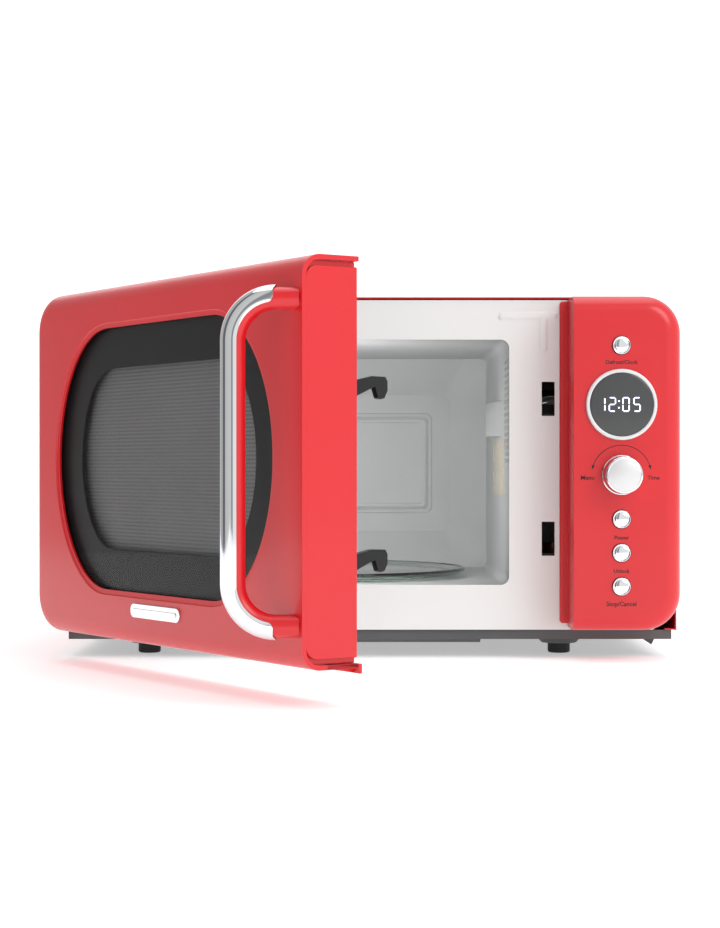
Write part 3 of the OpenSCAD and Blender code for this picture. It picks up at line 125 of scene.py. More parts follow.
class MicrowavePanelSizes(bpy.types.PropertyGroup):
    """Sizes of the control panel."""

    corner: length("Corner radius", "Radius of the panel's two right corners", 26)
    roll: length("Edge roll", "Radius of the rolled front edges", 12)
    wall: length("Wall", "Thickness of the moulded panel", 2.8)
    button: length("Button diameter", "Diameter of a push button", 12.5)
    knob: length("Knob diameter", "Diameter of the knob's skirt", 28)
    display: length("Display diameter", "Diameter of the ring round the display", 49.8)


class MicrowaveColours(bpy.types.PropertyGroup):
    """Main colours."""

    red: colour("Red", "Case, door and control panel", "D8141F")
    red_shade: colour("Deep red", "Deeper tone that the red drifts to", "CC101B")
    plate: colour("Plate", "Front plate behind the door", "EDEDEC")
    cavity: colour("Cavity", "Sprayed enamel of the cavity", "BDBEBE")
    base: colour("Base", "Powder coat of the base", "5E5F60")


def mm(size):
    """A user's length in millimetres."""
    return size / MM


# ---------------------------------------------------------------- finishes


def add(tree, kind, inputs=None, **settings):
    """Adds a shader node, sets its settings and fills or links its sockets."""
    made = tree.nodes.new("ShaderNode" + kind)
    for name, value in settings.items():
        setattr(made, name, value)
    for socket, value in (inputs or {}).items():
        if isinstance(value, bpy.types.NodeSocket):
            tree.links.new(value, made.inputs[socket])
        else:
            made.inputs[socket].default_value = value
    return made


def finish(label, light, dark, mottle, rough, grain, depth, **sockets):
    """Starts a finish.

    Its tone drifts between two colours over `mottle` mm and its roughness with it, and a
    texture with a grain of `grain` mm stands `depth` mm high.
    """
    made = bpy.data.materials.new(label)
    made.use_nodes = True
    tree = made.node_tree
    tree.nodes.clear()
    place = add(tree, "TexCoord").outputs["Object"]
    drift = add(tree, "TexNoise", {"Vector": place, "Scale": 1000 / mottle, "Detail": 3}).outputs[0]
    tone = add(tree, "Mix", {0: drift, 6: light, 7: dark}, data_type="RGBA")
    gloss = add(tree, "MapRange", {"Value": drift, "To Min": rough[0], "To Max": rough[1]})
    fine = add(tree, "TexNoise", {"Vector": place, "Scale": 1000 / grain, "Detail": 2}).outputs[0]
    relief = add(tree, "Bump", {"Height": fine, "Distance": depth * MM})
    shader = add(tree, "BsdfPrincipled", {"Base Color": tone.outputs[2], "Normal": relief.outputs[0],
                                          "Roughness": gloss.outputs[0]})
    for name, value in sockets.items():
        shader.inputs[name.replace("_", " ")].default_value = value
    add(tree, "OutputMaterial", {"Surface": shader.outputs[0]})
    return made, tree, place, shader, tone


def red_enamel():
    # Stoved enamel on pressed steel: a deep wet gloss with a faint orange peel 3 mm across
    tones = bpy.context.scene.microwave_colours
    return finish("Red stoved enamel on steel", tones.red, tones.red_shade, 90, (0.2, 0.27), 3, 0.012,
                  Coat_Weight=0.25, Coat_Roughness=0.06, Specular_IOR_Level=0.35)[0]


def red_abs():
    # Moulded and lacquered ABS: a softer gloss, slightly milky where light grazes it
    tones = bpy.context.scene.microwave_colours
    return finish("Red lacquered ABS, moulded", tones.red, tones.red_shade, 120, (0.32, 0.38), 1.8, 0.006,
                  Coat_Weight=0.3, Coat_Roughness=0.1)[0]


def white_enamel():
    # Baked white enamel: even and slightly warm, with a shallow orange peel
    tones = bpy.context.scene.microwave_colours
    return finish("White baked enamel on steel", tones.plate, linear("E6E6E4"), 140, (0.34, 0.42), 2.2,
                  0.008, Coat_Weight=0.2, Coat_Roughness=0.15)[0]


def grey_enamel():
    # Sprayed cavity enamel: satin grey with a fine fleck from the spray gun
    tones = bpy.context.scene.microwave_colours
    made, tree, place, shader, tone = finish("Grey cavity enamel, sprayed", tones.cavity, linear("B0B1B1"),
                                             60, (0.3, 0.42), 1.1, 0.01)
    fleck = add(tree, "TexVoronoi", {"Vector": place, "Scale": 1000 / 1.6})
    spot = add(tree, "MapRange", {"Value": fleck.outputs[0], "From Min": 0.05, "From Max": 0.3,
                                  "To Min": 0.12, "To Max": 0})
    flecked = add(tree, "Mix", {0: spot.outputs[0], 6: tone.outputs[2], 7: linear("8E9090")},
                  data_type="RGBA")
    tree.links.new(flecked.outputs[2], shader.inputs["Base Color"])
    return made


def dark_steel():
    # Powder coat on the pressed base: matt dark grey with a visible grain under 1 mm
    tones = bpy.context.scene.microwave_colours
    return finish("Dark powder coat on steel", tones.base, linear("515253"), 50, (0.5, 0.62), 0.9, 0.03)[0]


def plated(label, light, dark, scale, rough):
    """Zinc or mill-finished metal: crystals or rolling marks break up the reflection."""
    made, tree, place, shader, tone = finish(label, light, dark, 40, rough, 0.8, 0.004, Metallic=1.0)
    spangle = add(tree, "TexVoronoi", {"Vector": place, "Scale": 1000 / scale})
    patch = add(tree, "Mix", {0: spangle.outputs["Color"], 6: tone.outputs[2], 7: dark}, data_type="RGBA")
    tree.links.new(patch.outputs[2], shader.inputs["Base Color"])
    return made


def zinc_steel():
    # Zinc plate: cool grey metal with spangles about 6 mm across
    return plated("Zinc plate on steel", linear("B9BDC0"), linear("A2A7AA"), 6, (0.3, 0.42))


def aluminium():
    # Rolled aluminium: pale, with fine streaks
    return plated("Aluminium sheet, rolled", linear("CFD1D2"), linear("BDBFC1"), 3, (0.28, 0.38))


def banded(label, light, dark, pitch, rough, turn, **sockets):
    """Thin layers or windings `pitch` mm apart, seen as fine lines."""
    made, tree, place, shader, tone = finish(label, light, dark, 30, rough, 0.7, 0.01, **sockets)
    axes = add(tree, "Mapping", {"Vector": place, "Rotation": turn})
    lines = add(tree, "TexWave", {"Vector": axes.outputs[0], "Scale": 1000 / pitch / 3.14, "Distortion": 0.3},
                bands_direction="Z")
    shade = add(tree, "Mix", {0: lines.outputs[1], 6: dark, 7: tone.outputs[2]}, data_type="RGBA")
    tree.links.new(shade.outputs[2], shader.inputs["Base Color"])
    relief = add(tree, "Bump", {"Height": lines.outputs[1], "Distance": 0.1 * MM})
    tree.links.new(relief.outputs[0], shader.inputs["Normal"])
    return made


def core_steel():
    # Stacked silicon steel: edges of the laminations show as fine dark lines
    return banded("Silicon steel laminations, stacked", linear("8B8987"), linear("5F5D5B"), 1.0, (0.4, 0.5),
                  (0, math.pi / 2, 0), Metallic=0.8)


def copper_wire():
    # Enamelled copper wire: warm brown turns side by side under a hard varnish
    return banded("Enamelled copper wire, wound", linear("B4622B"), linear("7C3D17"), 1.4, (0.25, 0.35),
                  (0, 0, 0), Metallic=0.7, Coat_Weight=0.5)


def chrome():
    # Polished chrome plate: a mirror with a faint blue-grey tone and the lightest haze
    return finish("Chrome plate, polished", linear("EDEFF1"), linear("E2E4E7"), 25, (0.035, 0.06), 4, 0.0008,
                  Metallic=1.0)[0]


def black_rubber():
    # Moulded rubber: near black, dull, with a fine bloom
    return finish("Black rubber, moulded", linear("1B1B1C"), linear("242425"), 12, (0.5, 0.65), 0.7, 0.02)[0]


def black_plastic():
    # Black nylon: a soft sheen and the fine texture of an eroded mould
    return finish("Black nylon, moulded", linear("141415"), linear("1C1C1D"), 20, (0.32, 0.42), 0.6, 0.012,
                  Specular_IOR_Level=0.35)[0]


def white_plastic():
    # White acetal: waxy, slightly translucent
    return finish("White acetal, moulded", linear("E9E8E3"), linear("DEDCD5"), 15, (0.32, 0.42), 0.9, 0.006,
                  Subsurface_Weight=0.08, Subsurface_Scale=0.002)[0]


def circuit_board():
    # Glass-epoxy board: green solder mask over copper tracks 1.5 mm apart
    made, tree, place, shader, _ = finish("Glass-epoxy board, solder masked", linear("1D5A35"),
                                          linear("164A2B"), 10, (0.25, 0.35), 0.8, 0.01, Coat_Weight=0.4)
    tracks = add(tree, "TexBrick", {"Vector": place, "Scale": 1000 / 6, "Mortar Size": 0.04,
                                    "Color1": linear("1D5A35"), "Color2": linear("1A5231"),
                                    "Mortar": linear("2F7A4A")})
    tree.links.new(tracks.outputs[0], shader.inputs["Base Color"])
    return made


def mica():
    # Pressed mica sheet: matt beige with silvery flakes
    made, tree, place, shader, tone = finish("Mica sheet, pressed", linear("C9C3B4"), linear("BDB6A5"), 18,
                                             (0.45, 0.6), 0.8, 0.015)
    flake = add(tree, "TexVoronoi", {"Vector": place, "Scale": 1000 / 3})
    shine = add(tree, "Mix", {0: 0.25, 6: tone.outputs[2], 7: flake.outputs["Color"]}, data_type="RGBA",
                blend_type="SOFT_LIGHT")
    tree.links.new(shine.outputs[2], shader.inputs["Base Color"])
    return made


def tray_glass():
    # Pressed soda glass: clear with a green body that deepens at the rim
    return finish("Soda glass, pressed", linear("E3F0EA"), linear("D9EAE2"), 60, (0.03, 0.06), 14, 0.03,
                  Transmission_Weight=1.0, IOR=1.5)[0]


def door_glass():
    # Smoked float glass: a light black tint, flat and mirror smooth
    return finish("Smoked float glass", linear("0E0E0F"), linear("0B0B0C"), 200, (0.02, 0.03), 30, 0.001,
                  Alpha=0.12, IOR=1.5, Specular_IOR_Level=0.2)[0]


def clear_sheet():
    # Polyester film: thin and clear with a slight ripple
    return finish("Polyester film, clear", linear("C8CACB"), linear("BFC1C2"), 80, (0.08, 0.14), 25, 0.03,
                  Alpha=0.16)[0]


def lamp_glass():
    # Lamp bulb: thin clear glass
    return finish("Lamp glass, blown", linear("F4F3EE"), linear("ECEAE2"), 20, (0.02, 0.05), 6, 0.002,
                  Transmission_Weight=0.9, IOR=1.47)[0]


def screen_steel():
    # Perforated steel, painted: mid grey behind the smoked glass. Holes are drawn 2.4 mm apart,
    # coarser than the real 1.6 mm, so that they show
    made, tree, place, shader, _ = finish("Perforated steel, painted", linear("8A8A8B"), linear("7F7F80"),
                                             60, (0.4, 0.5), 0.8, 0.01)
    level = add(tree, "Mapping", {"Vector": place, "Rotation": (0, 0, OPENING)})
    flat = add(tree, "Mapping", {"Vector": level.outputs[0], "Rotation": (-math.pi / 2, 0, 0)})
    holes = add(tree, "TexVoronoi", {"Vector": flat.outputs[0], "Scale": 1000 / 2.4, "Randomness": 0.0},
                voronoi_dimensions="2D")
    solid = add(tree, "MapRange", {"Value": holes.outputs[0], "From Min": 0.24, "From Max": 0.32,
                                   "To Min": 0.35, "To Max": 1})
    tree.links.new(solid.outputs[0], shader.inputs["Alpha"])
    return made


def printed_ink():
    # Pad-printed ink: matt black film on the lacquer
    return finish("Black ink, pad printed", linear("0C0606"), linear("140A0B"), 5, (0.45, 0.55), 0.5,
                  0.002)[0]


def lit_digits():
    # Lit segments: cool white, bright enough to bloom a little in the lens
    return finish("Light segments, lit", linear("F2F4FF"), linear("E6EAFF"), 4, (0.4, 0.5), 1, 0.001,
                  Emission_Color=linear("E4E9FF"), Emission_Strength=1.15)[0]


def smoked_lens():
    # Smoked acrylic: dark grey with a satin front that softens what it mirrors
    return finish("Smoked acrylic lens", linear("414243"), linear("363738"), 40, (0.22, 0.28), 8, 0.004,
                  Coat_Weight=0.4, Coat_Roughness=0.1)[0]


def spun_silver():
    # Spun aluminium disc: rings 0.8 mm apart, coarser than the real tool marks so they show
    made, tree, place, shader, _ = finish("Aluminium disc, spun and lacquered", linear("E3E3E4"),
                                          linear("D9D9DA"), 20, (0.3, 0.4), 1, 0.001, Metallic=0.35)
    low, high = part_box("menu_knob")
    centred = add(tree, "Mapping", {"Vector": place, "Location": -(low + high) / 2})
    rings = add(tree, "TexWave", {"Vector": centred.outputs[0], "Scale": 1000 / 0.8 / 3.14},
                wave_type="RINGS", rings_direction="Y")
    relief = add(tree, "Bump", {"Height": rings.outputs[1], "Distance": 0.004 * MM})
    tree.links.new(relief.outputs[0], shader.inputs["Normal"])
    return made


FINISHES = {
    "red_enamel": red_enamel, "red_abs": red_abs, "white_enamel": white_enamel,
    "grey_enamel": grey_enamel, "dark_steel": dark_steel, "zinc_steel": zinc_steel,
    "core_steel": core_steel, "copper_wire": copper_wire, "aluminium": aluminium,
    "chrome": chrome, "black_rubber": black_rubber, "black_plastic": black_plastic,
    "white_plastic": white_plastic, "circuit_board": circuit_board, "mica": mica,
    "tray_glass": tray_glass, "door_glass": door_glass, "clear_sheet": clear_sheet,
    "lamp_glass": lamp_glass, "screen_steel": screen_steel, "ink": printed_ink,
    "digits": lit_digits, "lens": smoked_lens, "silver": spun_silver,
}
made_finishes = {}


def material(name):
    """The finish of that name, made the first time it is asked for."""
    if name not in made_finishes:
        made_finishes[name] = FINISHES[name]()
    return made_finishes[name]


# ---------------------------------------------------------------- shapes


def piece(name, bm, place, body, slot, replaced=(), look=None, wall=0.0, outward=False,
          edge=0.4, sharp=35, steps=2):
    """Carries a shape built in millimetres into the frame and gives it its finish.

    `wall` thickens a skin, inward unless `outward`, and `edge` rounds its sharp edges.
    """
    bm.transform(place @ Matrix.Diagonal((MM, MM, MM, 1)))
    mesh = bpy.data.meshes.new(name)
    bm.to_mesh(mesh)
    bm.free()
    made = bpy.data.objects.new(name, mesh)
    bpy.context.scene.collection.objects.link(made)
    mesh.materials.append(material(look or slot))
    mesh.shade_smooth()
    mesh.set_sharp_from_angle(angle=math.radians(sharp))
    if wall:
        thick = made.modifiers.new("Wall", "SOLIDIFY")
        thick.thickness, thick.offset, thick.use_even_offset = wall * MM, 1 if outward else -1, True
        group = made.vertex_groups.new(name="wall")
        group.add(range(len(mesh.vertices)), 1.0, "REPLACE")
        thick.vertex_group = "wall"
    if edge:
        soft = made.modifiers.new("Edges", "BEVEL")
        soft.width, soft.segments, soft.limit_method = edge * MM, steps, "ANGLE"
        soft.angle_limit, soft.harden_normals = math.radians(sharp), True
    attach(made, body)
    if replaced:
        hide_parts(*replaced)
    return made


def clean(bm):
    """Merges doubles and turns faces outwards."""
    bmesh.ops.remove_doubles(bm, verts=bm.verts, dist=1e-4)
    bmesh.ops.recalc_face_normals(bm, faces=bm.faces)


def ring(bm, points, closed=True):
    """Adds a line of points and returns its edges."""
    verts = [bm.verts.new(p) for p in points]
    return [bm.edges.new(pair) for pair in zip(verts, verts[1:] + verts[:closed])]


def loft(bm, rings):
    """Bridges each loop of edges to the next."""
    for first, second in zip(rings, rings[1:]):
        bmesh.ops.bridge_loops(bm, edges=first + second)


def prism(bm, points, along):
    """Pushes a flat outline along a vector and returns the far corners."""
    face = bm.faces.new([bm.verts.new(p) for p in points])
    far = bmesh.ops.extrude_face_region(bm, geom=[face])["geom"]
    corners = [g for g in far if isinstance(g, bmesh.types.BMVert)]
    bmesh.ops.translate(bm, verts=corners, vec=along)
    return corners


def lathe(bm, profile, centre, steps=72, up=(0, -1, 0), out=(1, 0, 0), closed=False):
    """Turns a line of (radius, height) pairs once round an axis through `centre`."""
    centre, up, out = Vector(centre), Vector(up), Vector(out)
    edges = ring(bm, [centre + out * r + up * h for r, h in profile], closed)
    verts = {v for e in edges for v in e.verts}
    bmesh.ops.spin(bm, geom=[*verts, *edges], cent=centre, axis=up, dvec=(0, 0, 0),
                   angle=2 * math.pi, steps=steps, use_merge=True)


def arc(centre, radius, start, end, count):
    """Points on an arc, as pairs; angles are in degrees."""
    turns = [math.radians(start + (end - start) * i / count) for i in range(count + 1)]
    return [(centre[0] + radius * math.cos(t), centre[1] + radius * math.sin(t)) for t in turns]


def rounded(low, high, radii, count=8):
    """Corner-rounded rectangle, anticlockwise from the lower left; one radius for each corner."""
    (x0, z0), (x1, z1) = low, high
    a, b, c, d = radii
    return [*arc((x0 + a, z0 + a), a, 180, 270, count), *arc((x1 - b, z0 + b), b, 270, 360, count),
            *arc((x1 - c, z1 - c), c, 0, 90, count), *arc((x0 + d, z1 - d), d, 90, 180, count)]


def facing(points, y):
    """Lifts pairs of (x, z) onto the plane at that depth."""
    return [(x, y, z) for x, z in points]


def cut_out(bm, low, high):
    """Takes away the part of a skin that lies inside a box."""
    def spans(face, axis):
        places = [v.co[axis] for v in face.verts]
        return min(places) < high[axis] - CUT_LINE and max(places) > low[axis] + CUT_LINE

    for axis in range(3):
        for end in (low, high):
            near = [f for f in bm.faces if all(spans(f, k) for k in range(3))]
            around = {g for f in near for g in (*f.edges, *f.verts)}
            point, normal = Vector(low), Vector((0, 0, 0))
            point[axis], normal[axis] = end[axis], 1
            bmesh.ops.bisect_plane(bm, geom=[*near, *around], dist=CUT_LINE, plane_co=point,
                                   plane_no=normal)
    gone = [f for f in bm.faces
            if all(low[k] < f.calc_center_median()[k] < high[k] for k in range(3))]
    bmesh.ops.delete(bm, geom=gone, context="FACES")


def merged_copy(node):
    """A CAD node's shape in millimetres, its loose triangles merged into faces."""
    bm = bmesh.new()
    bm.from_mesh(frame["nodes"][node].data)
    bmesh.ops.scale(bm, vec=(1 / MM, 1 / MM, 1 / MM), verts=bm.verts)
    bmesh.ops.remove_doubles(bm, verts=bm.verts, dist=2e-3)
    bmesh.ops.dissolve_limit(bm, angle_limit=math.radians(0.5), verts=bm.verts, edges=bm.edges)
    return bm


def dress(slot, body, *nodes, edge=0.3, steps=2, look=None):
    """Shows CAD nodes as copies with softened edges."""
    for name in nodes:
        piece(name + "_dressed", merged_copy(name), Matrix.Identity(4), body, slot, (name,), look,
              edge=edge, steps=steps)


def coat(slot, *nodes):
    """Gives CAD nodes that stay as they are their finish."""
    for name in nodes:
        mesh = frame["nodes"][name].data
        mesh.materials.clear()
        mesh.materials.append(material(slot))


# ---------------------------------------------------------------- door

DOOR_X0, DOOR_X1 = -220.0, 140.5
DOOR_FRONT, DOOR_BACK = -41.0, -3.0
DOOR_Z0, DOOR_Z1 = 22.3, 257.2
WINDOW_X, WINDOW_Z = -37.0, 142.5
HINGE_SIDE_Y = -9.2
HINGE_SLOTS_Z = (39.6, 235.8)
LIP_X0 = -193.0
HANDLE_ROOT_X = 130.7
HANDLE_LEAN = 36.1156
HANDLE_LOW, HANDLE_HIGH = 47.3, 232.2
COVER_BACK = -2.17
COVER_TIP = 5.0


def window(grow, y, count=40):
    """The window's outline at depth y, larger all round by `grow` mm."""
    sizes = bpy.context.scene.microwave_door
    end, high = mm(sizes.window_end) + grow, mm(sizes.window_h) / 2 + grow
    straight = mm(sizes.window_w) / 2 - mm(sizes.window_end)
    points = []
    for side in (1, -1):
        for i in range(count + 1):
            turn = math.pi * (i / count - 0.5)
            points.append((WINDOW_X + side * (straight + end * math.cos(turn)), y,
                           WINDOW_Z + side * high * math.sin(turn)))
    return points


def front_edges(bm, y, x_limit):
    """Edges round the front face, apart from those on the plane x = x_limit."""
    return [e for e in bm.edges if all(abs(v.co.y - y) < 1e-3 for v in e.verts)
            and not all(abs(v.co.x - x_limit) < 1e-3 for v in e.verts)]


def roll_edges(bm, edges, radius):
    """Rounds the front edges of a moulding to a full quarter turn."""
    bmesh.ops.bevel(bm, geom=edges, offset=radius, offset_type="OFFSET", affect="EDGES", segments=14,
                    profile=0.5, material=-1, clamp_overlap=False)


def open_front(bm, y, holes):
    """Puts holes in the flat front of a moulding; returns each hole's edges."""
    front = max((f for f in bm.faces if abs(f.calc_center_median().y - y) < 1e-3
                 and abs(f.normal.y) > 0.9), key=lambda f: f.calc_area())
    rim = list(front.edges)
    bmesh.ops.delete(bm, geom=[front], context="FACES_ONLY")
    loops = [ring(bm, points) for points in holes]
    bmesh.ops.triangle_fill(bm, edges=rim + [e for loop in loops for e in loop], use_beauty=True,
                            normal=(0, -1, 0))
    return loops


class MICROWAVE_OT_door_shell(bpy.types.Operator):
    """Moulded door shell with rolled edges, the stepped window opening and the lower lip"""

    bl_idname = "microwave.door_shell"
    bl_label = "Door shell"

    def execute(self, context):
        sizes = context.scene.microwave_door
        corner, wall = mm(sizes.corner), mm(sizes.wall)
        bm = bmesh.new()
        outline = rounded((DOOR_X0, DOOR_Z0), (DOOR_X1, DOOR_Z1), (corner, 0, 0, corner), 14)
        prism(bm, facing(dict.fromkeys(outline), DOOR_BACK), (0, DOOR_FRONT - DOOR_BACK, 0))
        clean(bm)
        roll_edges(bm, front_edges(bm, DOOR_FRONT, DOOR_X1), mm(sizes.roll))
        loops = open_front(bm, DOOR_FRONT, [window(3.5, DOOR_FRONT)])
        gone = [f for f in bm.faces if all(abs(v.co.y - DOOR_BACK) < 1e-3 for v in f.verts)
                or all(abs(v.co.x - DOOR_X1) < 1e-3 for v in f.verts)]
        bmesh.ops.delete(bm, geom=gone, context="FACES")
        loft(bm, [loops[0], ring(bm, window(3.1, DOOR_FRONT + 0.9)),
                  ring(bm, window(2.8, DOOR_FRONT + 1.2)), ring(bm, window(0, DOOR_FRONT + 1.4))])
        cut_out(bm, (-221, HINGE_SIDE_Y, 0), (-216.6, 0, 300))
        for z in HINGE_SLOTS_Z:
            cut_out(bm, (-221, -22.3, z), (-214.2, 0, z + 4.1))
        clean(bm)
        made = piece("door_skin", bm, DOOR, "door", "red_abs", ("door_shell",), wall=wall, edge=0.5)
        # The step round the window is thinner than the rest of the shell
        shut = DOOR.inverted()
        places = [(v.index, shut @ v.co / MM) for v in made.data.vertices]
        thin = [i for i, at in places if at.y > DOOR_FRONT + 0.5
                and abs(at.x - WINDOW_X) < mm(sizes.window_w) / 2 + 3.3
                and abs(at.z - WINDOW_Z) < mm(sizes.window_h) / 2 + 3.3]
        made.vertex_groups["wall"].add(thin, 0.55, "REPLACE")
        bm = bmesh.new()
        strip = [(-24, 22.5), (-3, 22.3), (-2.4, 19.1), (-0.6, 19.1), (-0.6, 24.7), (-5, 25.1), (-24, 25.1)]
        prism(bm, [(LIP_X0, y, z) for y, z in strip], (DOOR_X1 - LIP_X0, 0, 0))
        wedge = [(-23, 22.6), (-2.6, 19.4), (-2.6, 23), (-23, 23)]
        prism(bm, [(LIP_X0, y, z) for y, z in wedge], (DOOR_X1 - 6 - LIP_X0, 0, 0))
        clean(bm)
        piece("door_lower_lip", bm, DOOR, "door", "red_abs", edge=0.3)
        return {"FINISHED"}


class MICROWAVE_OT_door_end(bpy.types.Operator):
    """Cap at the free end of the door, and the wall behind it that closes the hollow shell"""

    bl_idname = "microwave.door_end"
    bl_label = "Door end cap"

    def execute(self, context):
        bm = bmesh.new()
        for (y0, z0), (y1, z1), radius, x, thick in (((-38.1, 25.2), (-3.2, 254.3), 9.2, 135.4, 1.2),
                                                    ((-37.9, 28.4), (-3.3, 251.1), 8, 136.5, 3)):
            outline = rounded((y0, z0), (y1, z1), (radius, 0.8, 0.8, radius), 8)
            prism(bm, [(x, y, z) for y, z in dict.fromkeys(outline)], (thick, 0, 0))
        bmesh.ops.recalc_face_normals(bm, faces=bm.faces)
        piece("end_cap", bm, DOOR, "door", "red_abs", ("door_end_cap",), edge=0.9, steps=3)
        return {"FINISHED"}


class MICROWAVE_OT_door_window(bpy.types.Operator):
    """Glass, dark border and perforated screen"""

    bl_idname = "microwave.door_window"
    bl_label = "Door window"

    def execute(self, context):
        border = mm(context.scene.microwave_door.border)
        bm = bmesh.new()
        prism(bm, window(6, -38.1), (0, 3, 0))
        clean(bm)
        piece("window_glass", bm, DOOR, "door", "door_glass", ("door_glass",), edge=0.5)
        bm = bmesh.new()
        bmesh.ops.triangle_fill(bm, edges=ring(bm, window(8, -35)) + ring(bm, window(-border, -35)),
                                use_beauty=True, normal=(0, -1, 0))
        piece("window_border", bm, DOOR, "door", "black_plastic", ("glass_frame",), wall=2.5, edge=0.3)
        bm = bmesh.new()
        prism(bm, window(-18.5, -29.5), (0, 0.5, 0))
        clean(bm)
        piece("window_screen", bm, DOOR, "door", "screen_steel", ("mesh_screen",), edge=0)
        return {"FINISHED"}


class MICROWAVE_OT_handle(bpy.types.Operator):
    """Bent red bar with a bright cover over its outer side"""

    bl_idname = "microwave.handle"
    bl_label = "Door handle"

    def execute(self, context):
        sizes = context.scene.microwave_handle
        core, bend, reach = mm(sizes.core) / 2, mm(sizes.bend), mm(sizes.reach)
        low, high = HANDLE_LOW, HANDLE_HIGH
        root = Matrix.Translation((HANDLE_ROOT_X * MM, DOOR_FRONT * MM, 0))
        place = DOOR @ root @ Matrix.Rotation(math.radians(-90 - HANDLE_LEAN), 4, "Z")
        foot = Matrix.Translation((-4, 0, low)) @ Matrix.Rotation(math.pi / 2, 4, "Y")
        bm = bmesh.new()
        verts = bmesh.ops.create_circle(bm, segments=40, radius=core, matrix=foot)["verts"]
        self.sweep(bm, [*verts, *bm.edges], bend, reach, low, high)
        bmesh.ops.holes_fill(bm, edges=bm.edges)
        clean(bm)
        piece("handle_bar", bm, place, "door", "red_abs", ("door_handle",), edge=0)
        bm = bmesh.new()
        outer = core + mm(sizes.cover)
        half = math.degrees(math.acos(COVER_BACK / outer))
        section = [*arc((0, 0), outer, -half, half, 26), *reversed(arc((0, 0), core + 0.05, -half, half, 26))]
        # The section's first axis points away from the middle of the bends
        edges = ring(bm, [(reach - bend, y, low - x) for x, y in section])
        verts = {v for e in edges for v in e.verts}
        self.sweep(bm, [*verts, *edges], bend, reach, low, high, feet=False)
        bmesh.ops.holes_fill(bm, edges=bm.edges)
        self.round_tips(bm, reach - bend, (low + high) / 2, bend, low)
        clean(bm)
        piece("handle_cover", bm, place, "door", "chrome", ("handle_trim",), edge=0.35, sharp=50, steps=3)
        return {"FINISHED"}

    def sweep(self, bm, geom, bend, reach, low, high, feet=True):
        """Runs a section out from the door, up and back, and returns its far end."""
        def straight(geom, along):
            edges = [g for g in geom if isinstance(g, bmesh.types.BMEdge)]
            far = bmesh.ops.extrude_edge_only(bm, edges=edges)
            verts = [g for g in far["geom"] if isinstance(g, bmesh.types.BMVert)]
            bmesh.ops.translate(bm, verts=verts, vec=along)
            return verts + [e for e in far["geom"] if isinstance(e, bmesh.types.BMEdge)
                            and all(v in verts for v in e.verts)]

        def turn(geom, centre):
            return bmesh.ops.spin(bm, geom=geom, cent=centre, axis=(0, -1, 0), dvec=(0, 0, 0),
                                  angle=math.pi / 2, steps=30)["geom_last"]

        out = reach - bend
        if feet:
            geom = straight(geom, (out + 4, 0, 0))
        geom = turn(geom, (out, 0, low + bend))
        geom = straight(geom, (0, 0, high - low - 2 * bend))
        geom = turn(geom, (out, 0, high - bend))
        if feet:
            geom = straight(geom, (-out - 4, 0, 0))
        return geom

    def round_tips(self, bm, out, middle, bend, low):
        """Rounds the two ends of the cover, as its section narrows over the last few millimetres."""
        for v in bm.verts:
            side = -1 if v.co.z < middle else 1
            centre = Vector((out, 0, middle + side * (middle - low - bend)))
            arm = Vector((v.co.x - centre.x, 0, v.co.z - centre.z))
            turn = math.atan2(arm.x, side * arm.z)
            along = turn * bend
            if -1e-3 <= along < COVER_TIP and side * arm.z > 0:
                keep = max(0.0, 1 - (1 - along / COVER_TIP) ** 3) ** 0.4
                around = math.atan2(v.co.y, arm.length - bend)
                radius = math.hypot(v.co.y, arm.length - bend)
                around *= max(keep, 0.05)
                reach = bend + radius * math.cos(around)
                v.co = centre + arm.normalized() * reach
                v.co.y = radius * math.sin(around)


class MICROWAVE_OT_door_badge(bpy.types.Operator):
    """Plain bright badge, rounded at both ends"""

    bl_idname = "microwave.door_badge"
    bl_label = "Door badge"

    def execute(self, context):
        shut = DOOR.inverted()
        corners = [shut @ v.co / MM for v in frame["nodes"]["door_badge"].data.vertices]
        x0, x1 = min(c.x for c in corners), max(c.x for c in corners)
        z0, z1 = min(c.z for c in corners), max(c.z for c in corners)
        r = (z1 - z0) / 2
        bm = bmesh.new()
        prism(bm, facing(dict.fromkeys(rounded((x0, z0), (x1, z1), (r,) * 4, 12)), DOOR_FRONT + 0.3),
              (0, -1.5, 0))
        x, z = (x0 + x1) / 2, (z0 + z1) / 2
        bar = rounded((x - 29, z - 1.5), (x + 29, z + 1.5), (1.5,) * 4, 8)
        prism(bm, facing(dict.fromkeys(bar), DOOR_FRONT - 1.2), (0, -0.6, 0))
        clean(bm)
        piece("badge", bm, DOOR, "door", "chrome", ("door_badge",), edge=0.5, steps=3)
        return {"FINISHED"}


class MICROWAVE_OT_door_back(bpy.types.Operator):
    """Inner pan, choke cover, inner window, latch hooks and spring"""

    bl_idname = "microwave.door_back"
    bl_label = "Door back"

    def execute(self, context):
        dress("black_plastic", "door", "choke_cover", edge=0.5)
        dress("zinc_steel", "door", "door_pan", edge=0.4)
        dress("black_plastic", "door_latch", "latch_hooks", edge=0.5, steps=3)
        coat("clear_sheet", "inner_window")
        spring = piece("spring", merged_copy("latch_spring"), Matrix.Identity(4), "door", "zinc_steel",
                       ("latch_spring",), edge=0)
        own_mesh(spring)
        return {"FINISHED"}


# ---------------------------------------------------------------- control panel

PANEL_X0, PANEL_X1 = 142.0, 218.0
PANEL_FRONT, PANEL_BACK = -41.0, -0.2
CONTROLS_X = 175.4
DISPLAY_Z, KNOB_Z = 180.7, 131.5
BUTTONS = {"clock_button": 222.0, "power_button": 100.6, "unlock_button": 77.1, "stop_button": 53.6}


